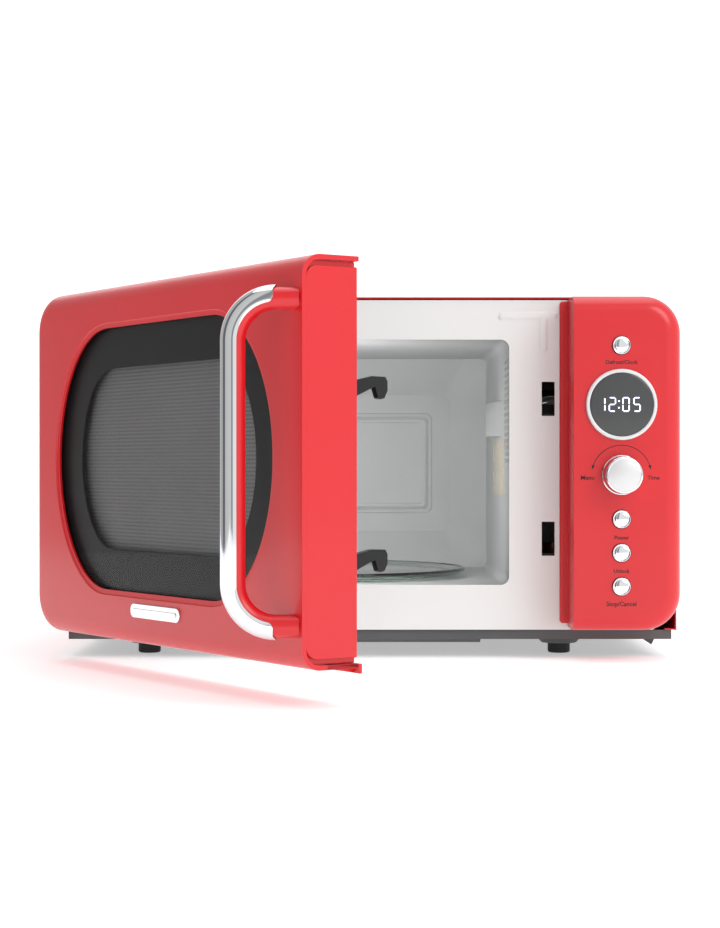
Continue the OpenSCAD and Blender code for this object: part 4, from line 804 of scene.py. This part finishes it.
class MICROWAVE_OT_panel(bpy.types.Operator):
    """Moulded control panel with rolled edges, button holes and the lip beside the door"""

    bl_idname = "microwave.panel"
    bl_label = "Control panel"

    def execute(self, context):
        sizes = context.scene.microwave_panel
        corner, hole = mm(sizes.corner), mm(sizes.button) / 2 + 0.45
        bm = bmesh.new()
        outline = rounded((PANEL_X0, DOOR_Z0), (PANEL_X1, DOOR_Z1), (0, corner, corner, 0), 14)
        prism(bm, facing(dict.fromkeys(outline), PANEL_BACK), (0, PANEL_FRONT - PANEL_BACK, 0))
        clean(bm)
        roll_edges(bm, front_edges(bm, PANEL_FRONT, PANEL_X0), mm(sizes.roll))
        holes = [facing(arc((CONTROLS_X, z), hole, 0, 360, 40)[:-1], PANEL_FRONT) for z in BUTTONS.values()]
        loops = open_front(bm, PANEL_FRONT, holes)
        back = [f for f in bm.faces if all(abs(v.co.y - PANEL_BACK) < 1e-3 for v in f.verts)]
        bmesh.ops.delete(bm, geom=back, context="FACES")
        for loop, z in zip(loops, BUTTONS.values()):
            loft(bm, [loop, ring(bm, facing(arc((CONTROLS_X, z), hole - 0.15, 0, 360, 40)[:-1],
                                            PANEL_FRONT + 0.4))])
        clean(bm)
        piece("panel_skin", bm, CABINET, "cabinet", "red_abs", ("control_panel",), wall=mm(sizes.wall),
              edge=0.6)
        bm = bmesh.new()
        lip = rounded((PANEL_X0 - 6, DOOR_Z0 + 2.7), (PANEL_X0 + 1, DOOR_Z1 - 1.3), (2.5, 0, 0, 2.5), 6)
        prism(bm, facing(dict.fromkeys(lip), PANEL_BACK), (0, -2, 0))
        clean(bm)
        piece("panel_lip", bm, CABINET, "cabinet", "red_abs", edge=1.2, steps=4)
        return {"FINISHED"}


class MICROWAVE_OT_display(bpy.types.Operator):
    """Bright ring, smoked lens and lit clock segments"""

    bl_idname = "microwave.display"
    bl_label = "Display"

    def execute(self, context):
        radius = mm(context.scene.microwave_panel.display) / 2
        bm = bmesh.new()
        profile = [(radius, -0.4), (radius, 1.2), *arc((radius - 0.9, 1.3), 0.9, 0, 90, 5),
                   (radius - 1.7, 2.2), *arc((radius - 1.9, 1.5), 0.7, 90, 180, 4), (radius - 2.6, -0.4)]
        lathe(bm, profile, (CONTROLS_X, PANEL_FRONT, DISPLAY_Z), 96, closed=True)
        clean(bm)
        piece("display_ring", bm, CABINET, "cabinet", "chrome", ("display_bezel",), look="silver", edge=0)
        bm = bmesh.new()
        lens = radius - 2.7
        profile = [(0, -0.4), (lens, -0.4), (lens, 1.3), (lens - 0.4, 1.6), (lens - 1, 1.7), (0, 1.7)]
        lathe(bm, profile, (CONTROLS_X, PANEL_FRONT, DISPLAY_Z), 96)
        clean(bm)
        piece("display_glass", bm, CABINET, "cabinet", "door_glass", ("display_lens",), look="lens", edge=0)
        self.clock()
        return {"FINISHED"}

    def clock(self):
        """Draws the time in seven-segment strokes."""
        high, wide, stroke = 10.3, 5.2, 0.9
        face = PANEL_FRONT - 1.72
        segments = {"a": (0.5, 1, 0), "g": (0.5, 0.5, 0), "d": (0.5, 0, 0), "f": (0, 0.75, 1),
                    "b": (1, 0.75, 1), "e": (0, 0.25, 1), "c": (1, 0.25, 1)}
        lit = {"1": "bc", "2": "abged", "0": "abcdef", "5": "afgcd"}
        bm = bmesh.new()
        for digit, x in (("1", -16.6), ("2", -9.2), ("0", 0.3), ("5", 8.0)):
            for name in lit[digit]:
                across, up, upright = segments[name]
                cx = CONTROLS_X + x + stroke / 2 + across * (wide - stroke)
                cz = DISPLAY_Z - high / 2 + stroke / 2 + up * (high - stroke)
                half = ((high - stroke) / 2 if upright else wide - stroke) / 2 - 0.22
                w = stroke / 2
                shape = [(-half, 0), (-half + w, -w), (half - w, -w),
                         (half, 0), (half - w, w), (-half + w, w)]
                points = [(cx + v, face, cz + u) if upright else (cx + u, face, cz + v) for u, v in shape]
                prism(bm, points, (0, -0.06, 0))
        for z in (-2.3, 2.3):
            dot = arc((CONTROLS_X - 2.0, DISPLAY_Z + z), 0.62, 0, 360, 12)[:-1]
            prism(bm, facing(dot, face), (0, -0.06, 0))
        clean(bm)
        piece("clock_digits", bm, CABINET, "cabinet", "clear_sheet", look="digits", edge=0)


class MICROWAVE_OT_knob(bpy.types.Operator):
    """Turned knob with a bright skirt and a spun silver face"""

    bl_idname = "microwave.knob"
    bl_label = "Knob"

    def execute(self, context):
        skirt = mm(context.scene.microwave_panel.knob) / 2
        body = skirt - 0.7
        profile = [(3.6, 1.4), (skirt - 0.4, 1.4), *arc((skirt - 0.6, 2.0), 0.6, -60, 90, 5),
                   (body + 0.1, 2.8), (body - 0.1, 3.4), (body - 0.35, 15.4),
                   *arc((body - 1.75, 15.6), 1.4, 0, 90, 7), (body - 2.3, 16.8), (3.6, 16.8)]
        bm = bmesh.new()
        lathe(bm, profile, (CONTROLS_X, PANEL_FRONT, KNOB_Z), 96, closed=True)
        clean(bm)
        piece("knob_body", bm, CABINET, "menu_knob", "chrome", ("menu_knob",), edge=0)
        bm = bmesh.new()
        face = body - 1.9
        profile = [(0, 16.5), (face, 16.5), (face, 16.8), (face - 0.3, 16.95), (0, 16.95)]
        lathe(bm, profile, (CONTROLS_X, PANEL_FRONT, KNOB_Z), 96)
        clean(bm)
        piece("knob_face", bm, CABINET, "menu_knob", "chrome", look="silver", edge=0)
        return {"FINISHED"}


class MICROWAVE_OT_buttons(bpy.types.Operator):
    """Four domed push buttons, each with a grooved rim"""

    bl_idname = "microwave.buttons"
    bl_label = "Buttons"

    def execute(self, context):
        r = mm(context.scene.microwave_panel.button) / 2
        crown = [((r - 1.3) * math.sin(t), 1.25 + 1.15 * math.cos(t))
                 for t in (math.radians(90 - 90 * i / 10) for i in range(11))]
        profile = [(0, -1.6), (r, -1.6), (r, 1.0), *arc((r - 0.35, 1.15), 0.35, 0, 120, 4),
                   (r - 0.95, 1.1), (r - 1.3, 1.05), *crown]
        profile[-1] = (0, profile[-1][1])
        for name, z in BUTTONS.items():
            bm = bmesh.new()
            lathe(bm, profile, (CONTROLS_X, PANEL_FRONT, z), 56)
            clean(bm)
            piece(name + "_cap", bm, CABINET, name, "chrome", (name,), edge=0)
        return {"FINISHED"}


class MICROWAVE_OT_markings(bpy.types.Operator):
    """Printed control words and the two-headed arrow over the knob"""

    bl_idname = "microwave.markings"
    bl_label = "Printed markings"

    def execute(self, context):
        words = (("Defrost/Clock", 22.5, 0, 210.2), ("Menu", 9.4, -23.8, 129.5), ("Time", 8.4, 22.4, 129.5),
                 ("Power", 10.2, 0, 87.6), ("Unlock", 11.2, 0, 64.3), ("Stop/Cancel", 21.0, 0, 41.3))
        bm = bmesh.new()
        for text, wide, x, z in words:
            self.word(context, bm, text, wide, CONTROLS_X + x, z)
        self.arrow(bm)
        piece("panel_print", bm, CABINET, "cabinet", "black_plastic", look="ink", edge=0)
        return {"FINISHED"}

    def word(self, context, bm, text, wide, x, z):
        """Adds a word of the given width, centred on a point of the panel."""
        font = bpy.data.curves.new(text, "FONT")
        font.body, font.extrude, font.align_x, font.align_y = text, 0.05, "CENTER", "CENTER"
        font.offset = 0.022
        font.resolution_u = 3
        holder = bpy.data.objects.new(text, font)
        context.scene.collection.objects.link(holder)
        context.view_layer.update()
        flat = bpy.data.meshes.new_from_object(holder.evaluated_get(context.evaluated_depsgraph_get()))
        bpy.data.objects.remove(holder)
        span = [v.co.x for v in flat.vertices]
        size = wide / (max(span) - min(span))
        place = Matrix.Translation((x, PANEL_FRONT, z)) @ Matrix.Rotation(math.pi / 2, 4, "X")
        flat.transform(place @ Matrix.Diagonal((size, size, 0.8, 1)))
        bm.from_mesh(flat)
        bpy.data.meshes.remove(flat)

    def arrow(self, bm):
        """Adds the arc over the knob and its two heads."""
        radius, end = 20.8, 72.0
        start = math.radians(90 - end)
        section = [(radius - 0.25, 0.04), (radius + 0.25, 0.04), (radius + 0.25, -0.1), (radius - 0.25, -0.1)]
        centre = Vector((CONTROLS_X, PANEL_FRONT, KNOB_Z))
        aim = Vector((math.cos(start), 0, math.sin(start)))
        face = bm.faces.new([bm.verts.new(centre + aim * r + Vector((0, -h, 0))) for r, h in section])
        bmesh.ops.spin(bm, geom=[face], cent=centre, axis=(0, -1, 0), dvec=(0, 0, 0),
                       angle=math.radians(2 * end), steps=40)
        for side in (-1, 1):
            turn = math.radians(90 + side * end)
            out = Vector((math.cos(turn), 0, math.sin(turn)))
            down = Vector((-side * math.sin(turn), 0, side * math.cos(turn)))
            root = centre + out * radius + Vector((0, -0.04, 0))
            tip = [root - down * 0.3 + out * 1.15, root + down * 2.9, root - down * 0.3 - out * 1.15]
            prism(bm, tip, (0, 0.14, 0))
        bmesh.ops.recalc_face_normals(bm, faces=bm.faces)


# ---------------------------------------------------------------- cabinet


CAVITY_X0, CAVITY_X1, CAVITY_Z0, CAVITY_Z1 = -201.0, 101.0, 51.4, 229.6
CAVITY_BACK_Y = 266.0


class MICROWAVE_OT_cabinet(bpy.types.Operator):
    """Outer case, front plate, base, rear panel, feet, hinges and screws"""

    bl_idname = "microwave.cabinet"
    bl_label = "Cabinet"

    def execute(self, context):
        dress("red_enamel", "cabinet", "outer_cabinet", edge=0.3)
        self.front_plate()
        dress("dark_steel", "cabinet", "base_plate", edge=0.5)
        dress("zinc_steel", "cabinet", "rear_panel", edge=0.25)
        dress("black_rubber", "cabinet", "feet", edge=0.6, steps=3)
        dress("zinc_steel", "cabinet", "upper_hinge", "lower_hinge", edge=0.4)
        dress("black_plastic", "cabinet", "cord_gland", edge=0.4)
        coat("zinc_steel", "cabinet_screws")
        return {"FINISHED"}

    def front_plate(self):
        """The plate without its T-shaped rib, which is pressed anew with soft shoulders."""
        bm = merged_copy("front_plate")
        plane = CABINET @ Vector((0, -0.02 * MM, 0)) / MM
        bmesh.ops.bisect_plane(bm, geom=[*bm.verts, *bm.edges, *bm.faces], plane_co=plane,
                               plane_no=(0, -1, 0), clear_outer=True)
        # The lower right corner is cut back behind the panel's round corner
        plane = CABINET @ Vector((203.2 * MM, 0, 20.2 * MM)) / MM
        bmesh.ops.bisect_plane(bm, geom=[*bm.verts, *bm.edges, *bm.faces], plane_co=plane,
                               plane_no=(1, 0, -1), clear_outer=True)
        piece("plate", bm, Matrix.Identity(4), "cabinet", "white_enamel", ("front_plate",), edge=0.3,
              steps=3)
        for (x0, z0), (x1, z1), r in (((92, 242.6), (135.5, 249.1), 3.2), ((121, 219.1), (128, 246), 3.4)):
            bm = bmesh.new()
            levels = ((0, 0.1), (0, 0), (0.5, -0.12), (1.3, -0.62), (1.9, -0.78), (2.4, -0.8))
            rings = [ring(bm, facing(rounded((x0 + i, z0 + i), (x1 - i, z1 - i), (r - i,) * 4, 8), y))
                     for i, y in levels]
            loft(bm, rings)
            bmesh.ops.holes_fill(bm, edges=rings[0] + rings[-1])
            clean(bm)
            piece("plate_rib", bm, CABINET, "cabinet", "white_enamel", edge=0, sharp=60)


class MICROWAVE_OT_cavity(bpy.types.Operator):
    """Cavity walls with their vents, and the dished back wall with its pressed border"""

    bl_idname = "microwave.cavity"
    bl_label = "Oven cavity"

    def execute(self, context):
        bm = merged_copy("cavity_liner")
        plane = CABINET @ Vector((0, CAVITY_BACK_Y * MM, 0)) / MM
        bmesh.ops.bisect_plane(bm, geom=[*bm.verts, *bm.edges, *bm.faces], plane_co=plane,
                               plane_no=(0, 1, 0), clear_outer=True)
        piece("cavity_walls", bm, Matrix.Identity(4), "cabinet", "grey_enamel", ("cavity_liner",),
              edge=0.5, steps=2)
        bm = bmesh.new()
        # How far each ring of the back lies inside the walls, its corner radius and its depth
        levels = ((0, 6, CAVITY_BACK_Y - 0.5), (0, 6, 274), (0.6, 26, 275), (29, 10, 287.2), (30.5, 9, 288),
                  (46, 6, 288), (47, 5, 287.3), (48.5, 4.5, 287.3), (49.5, 4, 288), (51, 4, 288),
                  (52, 3.5, 287.5), (53.5, 3, 287.5), (54.5, 3, 288))
        rings = []
        for inset, radius, y in levels:
            low, high = (CAVITY_X0 + inset, CAVITY_Z0 + inset), (CAVITY_X1 - inset, CAVITY_Z1 - inset)
            points = rounded(low, high, (radius,) * 4, 10)
            rings.append(ring(bm, facing(points, y)))
        loft(bm, rings)
        bmesh.ops.holes_fill(bm, edges=rings[-1])
        clean(bm)
        middle = max(bm.faces, key=lambda f: f.calc_area())
        piece("cavity_back", bm, CABINET, "cabinet", "grey_enamel", wall=0.8, outward=middle.normal.y > 0,
              edge=0.9, sharp=20, steps=3)
        coat("mica", "waveguide_cover")
        return {"FINISHED"}


class MICROWAVE_OT_turntable(bpy.types.Operator):
    """Pressed glass tray with a ribbed rim, and the roller ring under it"""

    bl_idname = "microwave.turntable"
    bl_label = "Turntable"

    def execute(self, context):
        low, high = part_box("glass_tray")
        centre = (low + high) / 2 / MM
        radius, base, top = (high.x - low.x) / 2 / MM, 52.0, high.z / MM
        ribs = []
        for i in range(6):
            r = radius - 20 + i * 2.6
            lift = base + 4.05 + max(0, i - 2) * 0.42
            ribs += [(r, lift), (r + 1.3, lift + 0.45)]
        profile = [(0, base), (radius - 24, base), (radius - 12, base + 0.5), (radius - 4, base + 1.9),
                   (radius - 0.8, top - 2.4), *arc((radius - 1.6, top - 1.6), 1.6, -20, 150, 8),
                   *reversed(ribs), (radius - 24, base + 4), (0, base + 4)]
        bm = bmesh.new()
        lathe(bm, profile, (centre.x, centre.y, 0), 128, up=(0, 0, 1))
        clean(bm)
        piece("tray", bm, Matrix.Identity(4), "tray", "tray_glass", ("glass_tray",), edge=0)
        dress("white_plastic", "roller_ring", "roller_ring", edge=0.5)
        for i in (1, 2, 3):
            dress("white_plastic", f"wheel_{i}", f"roller_wheel_{i}", edge=0.5)
        dress("white_plastic", "turntable_drive", "turntable_coupler", edge=0.4)
        return {"FINISHED"}


class MICROWAVE_OT_components(bpy.types.Operator):
    """Finishes of the parts inside the component bay and behind the panel"""

    bl_idname = "microwave.components"
    bl_label = "Component bay"

    def execute(self, context):
        coat("zinc_steel", "waveguide", "capacitor_clamp", "fan_motor", "turntable_motor", "encoder_body",
             "encoder_plunger")
        coat("aluminium", "magnetron", "capacitor")
        coat("core_steel", "transformer_core")
        coat("copper_wire", "transformer_windings")
        coat("black_plastic", "hv_diode", "air_duct", "fan_shroud", "latch_board", "interlock_switches",
             "thermal_cutouts", "display_module")
        coat("white_plastic", "lamp_holder", "fan_blade")
        coat("circuit_board", "filter_board", "control_board")
        coat("lamp_glass", "cavity_lamp")
        return {"FINISHED"}


# ---------------------------------------------------------------- stage


EYE, LENS = (-0.00022, -1.4496, 0.1371), 78.26


class MICROWAVE_OT_stage(bpy.types.Operator):
    """Pale floor and backdrop, soft lights and the camera"""

    bl_idname = "microwave.stage"
    bl_label = "Stage"

    def execute(self, context):
        self.sweep(context)
        self.world(context)
        self.light("key", (1.7, -2.0, 1.7), 1.6, 24)
        self.light("top", (0.0, 0.1, 2.2), 2.2, 16)
        low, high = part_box("cavity_liner")
        mouth = ((low.x + high.x) / 2, low.y + 0.006, (low.z + high.z) / 2)
        inside = self.light("cavity_fill", mouth, 0.16, 0.45)
        inside.rotation_euler = (math.pi / 2, 0, 0)
        inside.visible_camera = False
        inside.visible_glossy = False
        seen = bpy.data.cameras.new("camera")
        seen.lens, seen.sensor_width, seen.shift_y = LENS, 36.0, 0.0032
        seen.clip_start, seen.clip_end = 0.05, 60
        camera = bpy.data.objects.new("camera", seen)
        context.scene.collection.objects.link(camera)
        camera.location, camera.rotation_euler = EYE, (math.pi / 2, 0, 0)
        context.scene.camera = camera
        context.scene.view_settings.view_transform = "Standard"
        return {"FINISHED"}

    def sweep(self, context):
        """A floor that curves up into the backdrop."""
        made = bpy.data.materials.new("Painted studio sweep")
        made.use_nodes = True
        tree = made.node_tree
        shader = tree.nodes["Principled BSDF"]
        shader.inputs["Base Color"].default_value = linear("F6F6F6")
        shader.inputs["Roughness"].default_value = 0.9
        shader.inputs["Emission Color"].default_value = (1, 1, 1, 1)
        shader.inputs["Emission Strength"].default_value = 0.4
        bm = bmesh.new()
        side = [(-3, 0), *((y, z) for y, z in arc((2.0, 1.0), 1.0, -90, 0, 24)), (3.0, 4.0)]
        edges = ring(bm, [(-1.8, y, z) for y, z in side], closed=False)
        far = bmesh.ops.extrude_edge_only(bm, edges=edges)["geom"]
        bmesh.ops.translate(bm, verts=[g for g in far if isinstance(g, bmesh.types.BMVert)], vec=(5, 0, 0))
        bmesh.ops.recalc_face_normals(bm, faces=bm.faces)
        mesh = bpy.data.meshes.new("studio_sweep")
        bm.to_mesh(mesh)
        bm.free()
        mesh.materials.append(made)
        mesh.shade_smooth()
        sweep = bpy.data.objects.new("studio_sweep", mesh)
        context.scene.collection.objects.link(sweep)

    def world(self, context):
        """Even pale light, dimmer from the front left so that the open door reads darker."""
        made = bpy.data.worlds.new("studio")
        made.use_nodes = True
        tree = made.node_tree
        tree.nodes.clear()
        way = add(tree, "TexCoord").outputs["Generated"]
        parts = add(tree, "SeparateXYZ", {0: way})
        turn = add(tree, "Math", {0: parts.outputs[1], 1: parts.outputs[0]}, operation="ARCTAN2")
        share = add(tree, "MapRange", {"Value": turn.outputs[0], "From Min": -math.pi, "From Max": math.pi})
        ramp = add(tree, "ValToRGB", {0: share.outputs[0]})
        # 0 and 1 are -X, 0.25 is -Y, 0.5 is +X, 0.75 is +Y
        stops = ramp.color_ramp.elements
        levels = ((0.0, 0.16), (0.04, 0.16), (0.055, 0.62), (0.19, 0.7), (0.205, 0.3), (0.225, 0.3),
                  (0.24, 0.95), (0.5, 1.0), (0.7, 1.0), (0.8, 1.0), (0.87, 0.5), (0.965, 0.5), (0.98, 0.16))
        for place, level in levels:
            stop = stops.new(place)
            stop.color = (level, level, level, 1)
        stops.remove(stops[0])
        stops[-1].color = (0.16, 0.16, 0.16, 1)
        # The backdrop itself is seen as plain white from every side
        seen = add(tree, "LightPath").outputs["Is Camera Ray"]
        shade = add(tree, "Mix", {0: seen, 6: ramp.outputs[0], 7: (1.05, 1.05, 1.05, 1)}, data_type="RGBA")
        back = add(tree, "Background", {"Color": shade.outputs[2], "Strength": 0.95})
        add(tree, "OutputWorld", {"Surface": back.outputs[0]})
        context.scene.world = made

    def light(self, name, place, size, power):
        """A large soft lamp aimed at the middle of the object."""
        lamp = bpy.data.lights.new(name, "AREA")
        lamp.shape, lamp.size, lamp.energy = "DISK", size, power
        made = bpy.data.objects.new(name, lamp)
        bpy.context.scene.collection.objects.link(made)
        aim = Vector((0, 0, 0.13)) - Vector(place)
        made.location, made.rotation_euler = place, aim.to_track_quat("-Z", "Y").to_euler()
        return made


# ---------------------------------------------------------------- add-on

OPERATORS = (
    MICROWAVE_OT_stage, MICROWAVE_OT_cabinet, MICROWAVE_OT_cavity, MICROWAVE_OT_turntable,
    MICROWAVE_OT_components, MICROWAVE_OT_door_shell, MICROWAVE_OT_door_end, MICROWAVE_OT_door_window,
    MICROWAVE_OT_handle, MICROWAVE_OT_door_badge, MICROWAVE_OT_door_back, MICROWAVE_OT_panel,
    MICROWAVE_OT_display, MICROWAVE_OT_knob, MICROWAVE_OT_buttons, MICROWAVE_OT_markings,
)
GROUPS = {
    "microwave_door": MicrowaveDoorSizes, "microwave_handle": MicrowaveHandleSizes,
    "microwave_panel": MicrowavePanelSizes, "microwave_colours": MicrowaveColours,
}


class MICROWAVE_PT_tools(bpy.types.Panel):
    """Sizes, colours and steps of the microwave oven"""

    bl_idname = "MICROWAVE_PT_tools"
    bl_label = "Microwave"
    bl_space_type = "VIEW_3D"
    bl_region_type = "UI"
    bl_category = "Microwave"

    def draw(self, context):
        for name, group in GROUPS.items():
            box = self.layout.box()
            for prop in group.__annotations__:
                box.prop(getattr(context.scene, name), prop)
        for step in OPERATORS:
            self.layout.operator(step.bl_idname)


def register():
    for group in GROUPS.values():
        bpy.utils.register_class(group)
    for name, group in GROUPS.items():
        setattr(bpy.types.Scene, name, PointerProperty(type=group))
    for made in (*OPERATORS, MICROWAVE_PT_tools):
        bpy.utils.register_class(made)


def unregister():
    for made in reversed((*OPERATORS, MICROWAVE_PT_tools)):
        bpy.utils.unregister_class(made)
    for name in GROUPS:
        delattr(bpy.types.Scene, name)
    for group in reversed(GROUPS.values()):
        bpy.utils.unregister_class(group)


def main():
    register()
    for step in OPERATORS:
        group, name = step.bl_idname.split(".")
        getattr(getattr(bpy.ops, group), name)()


if __name__ == "__main__":
    main()
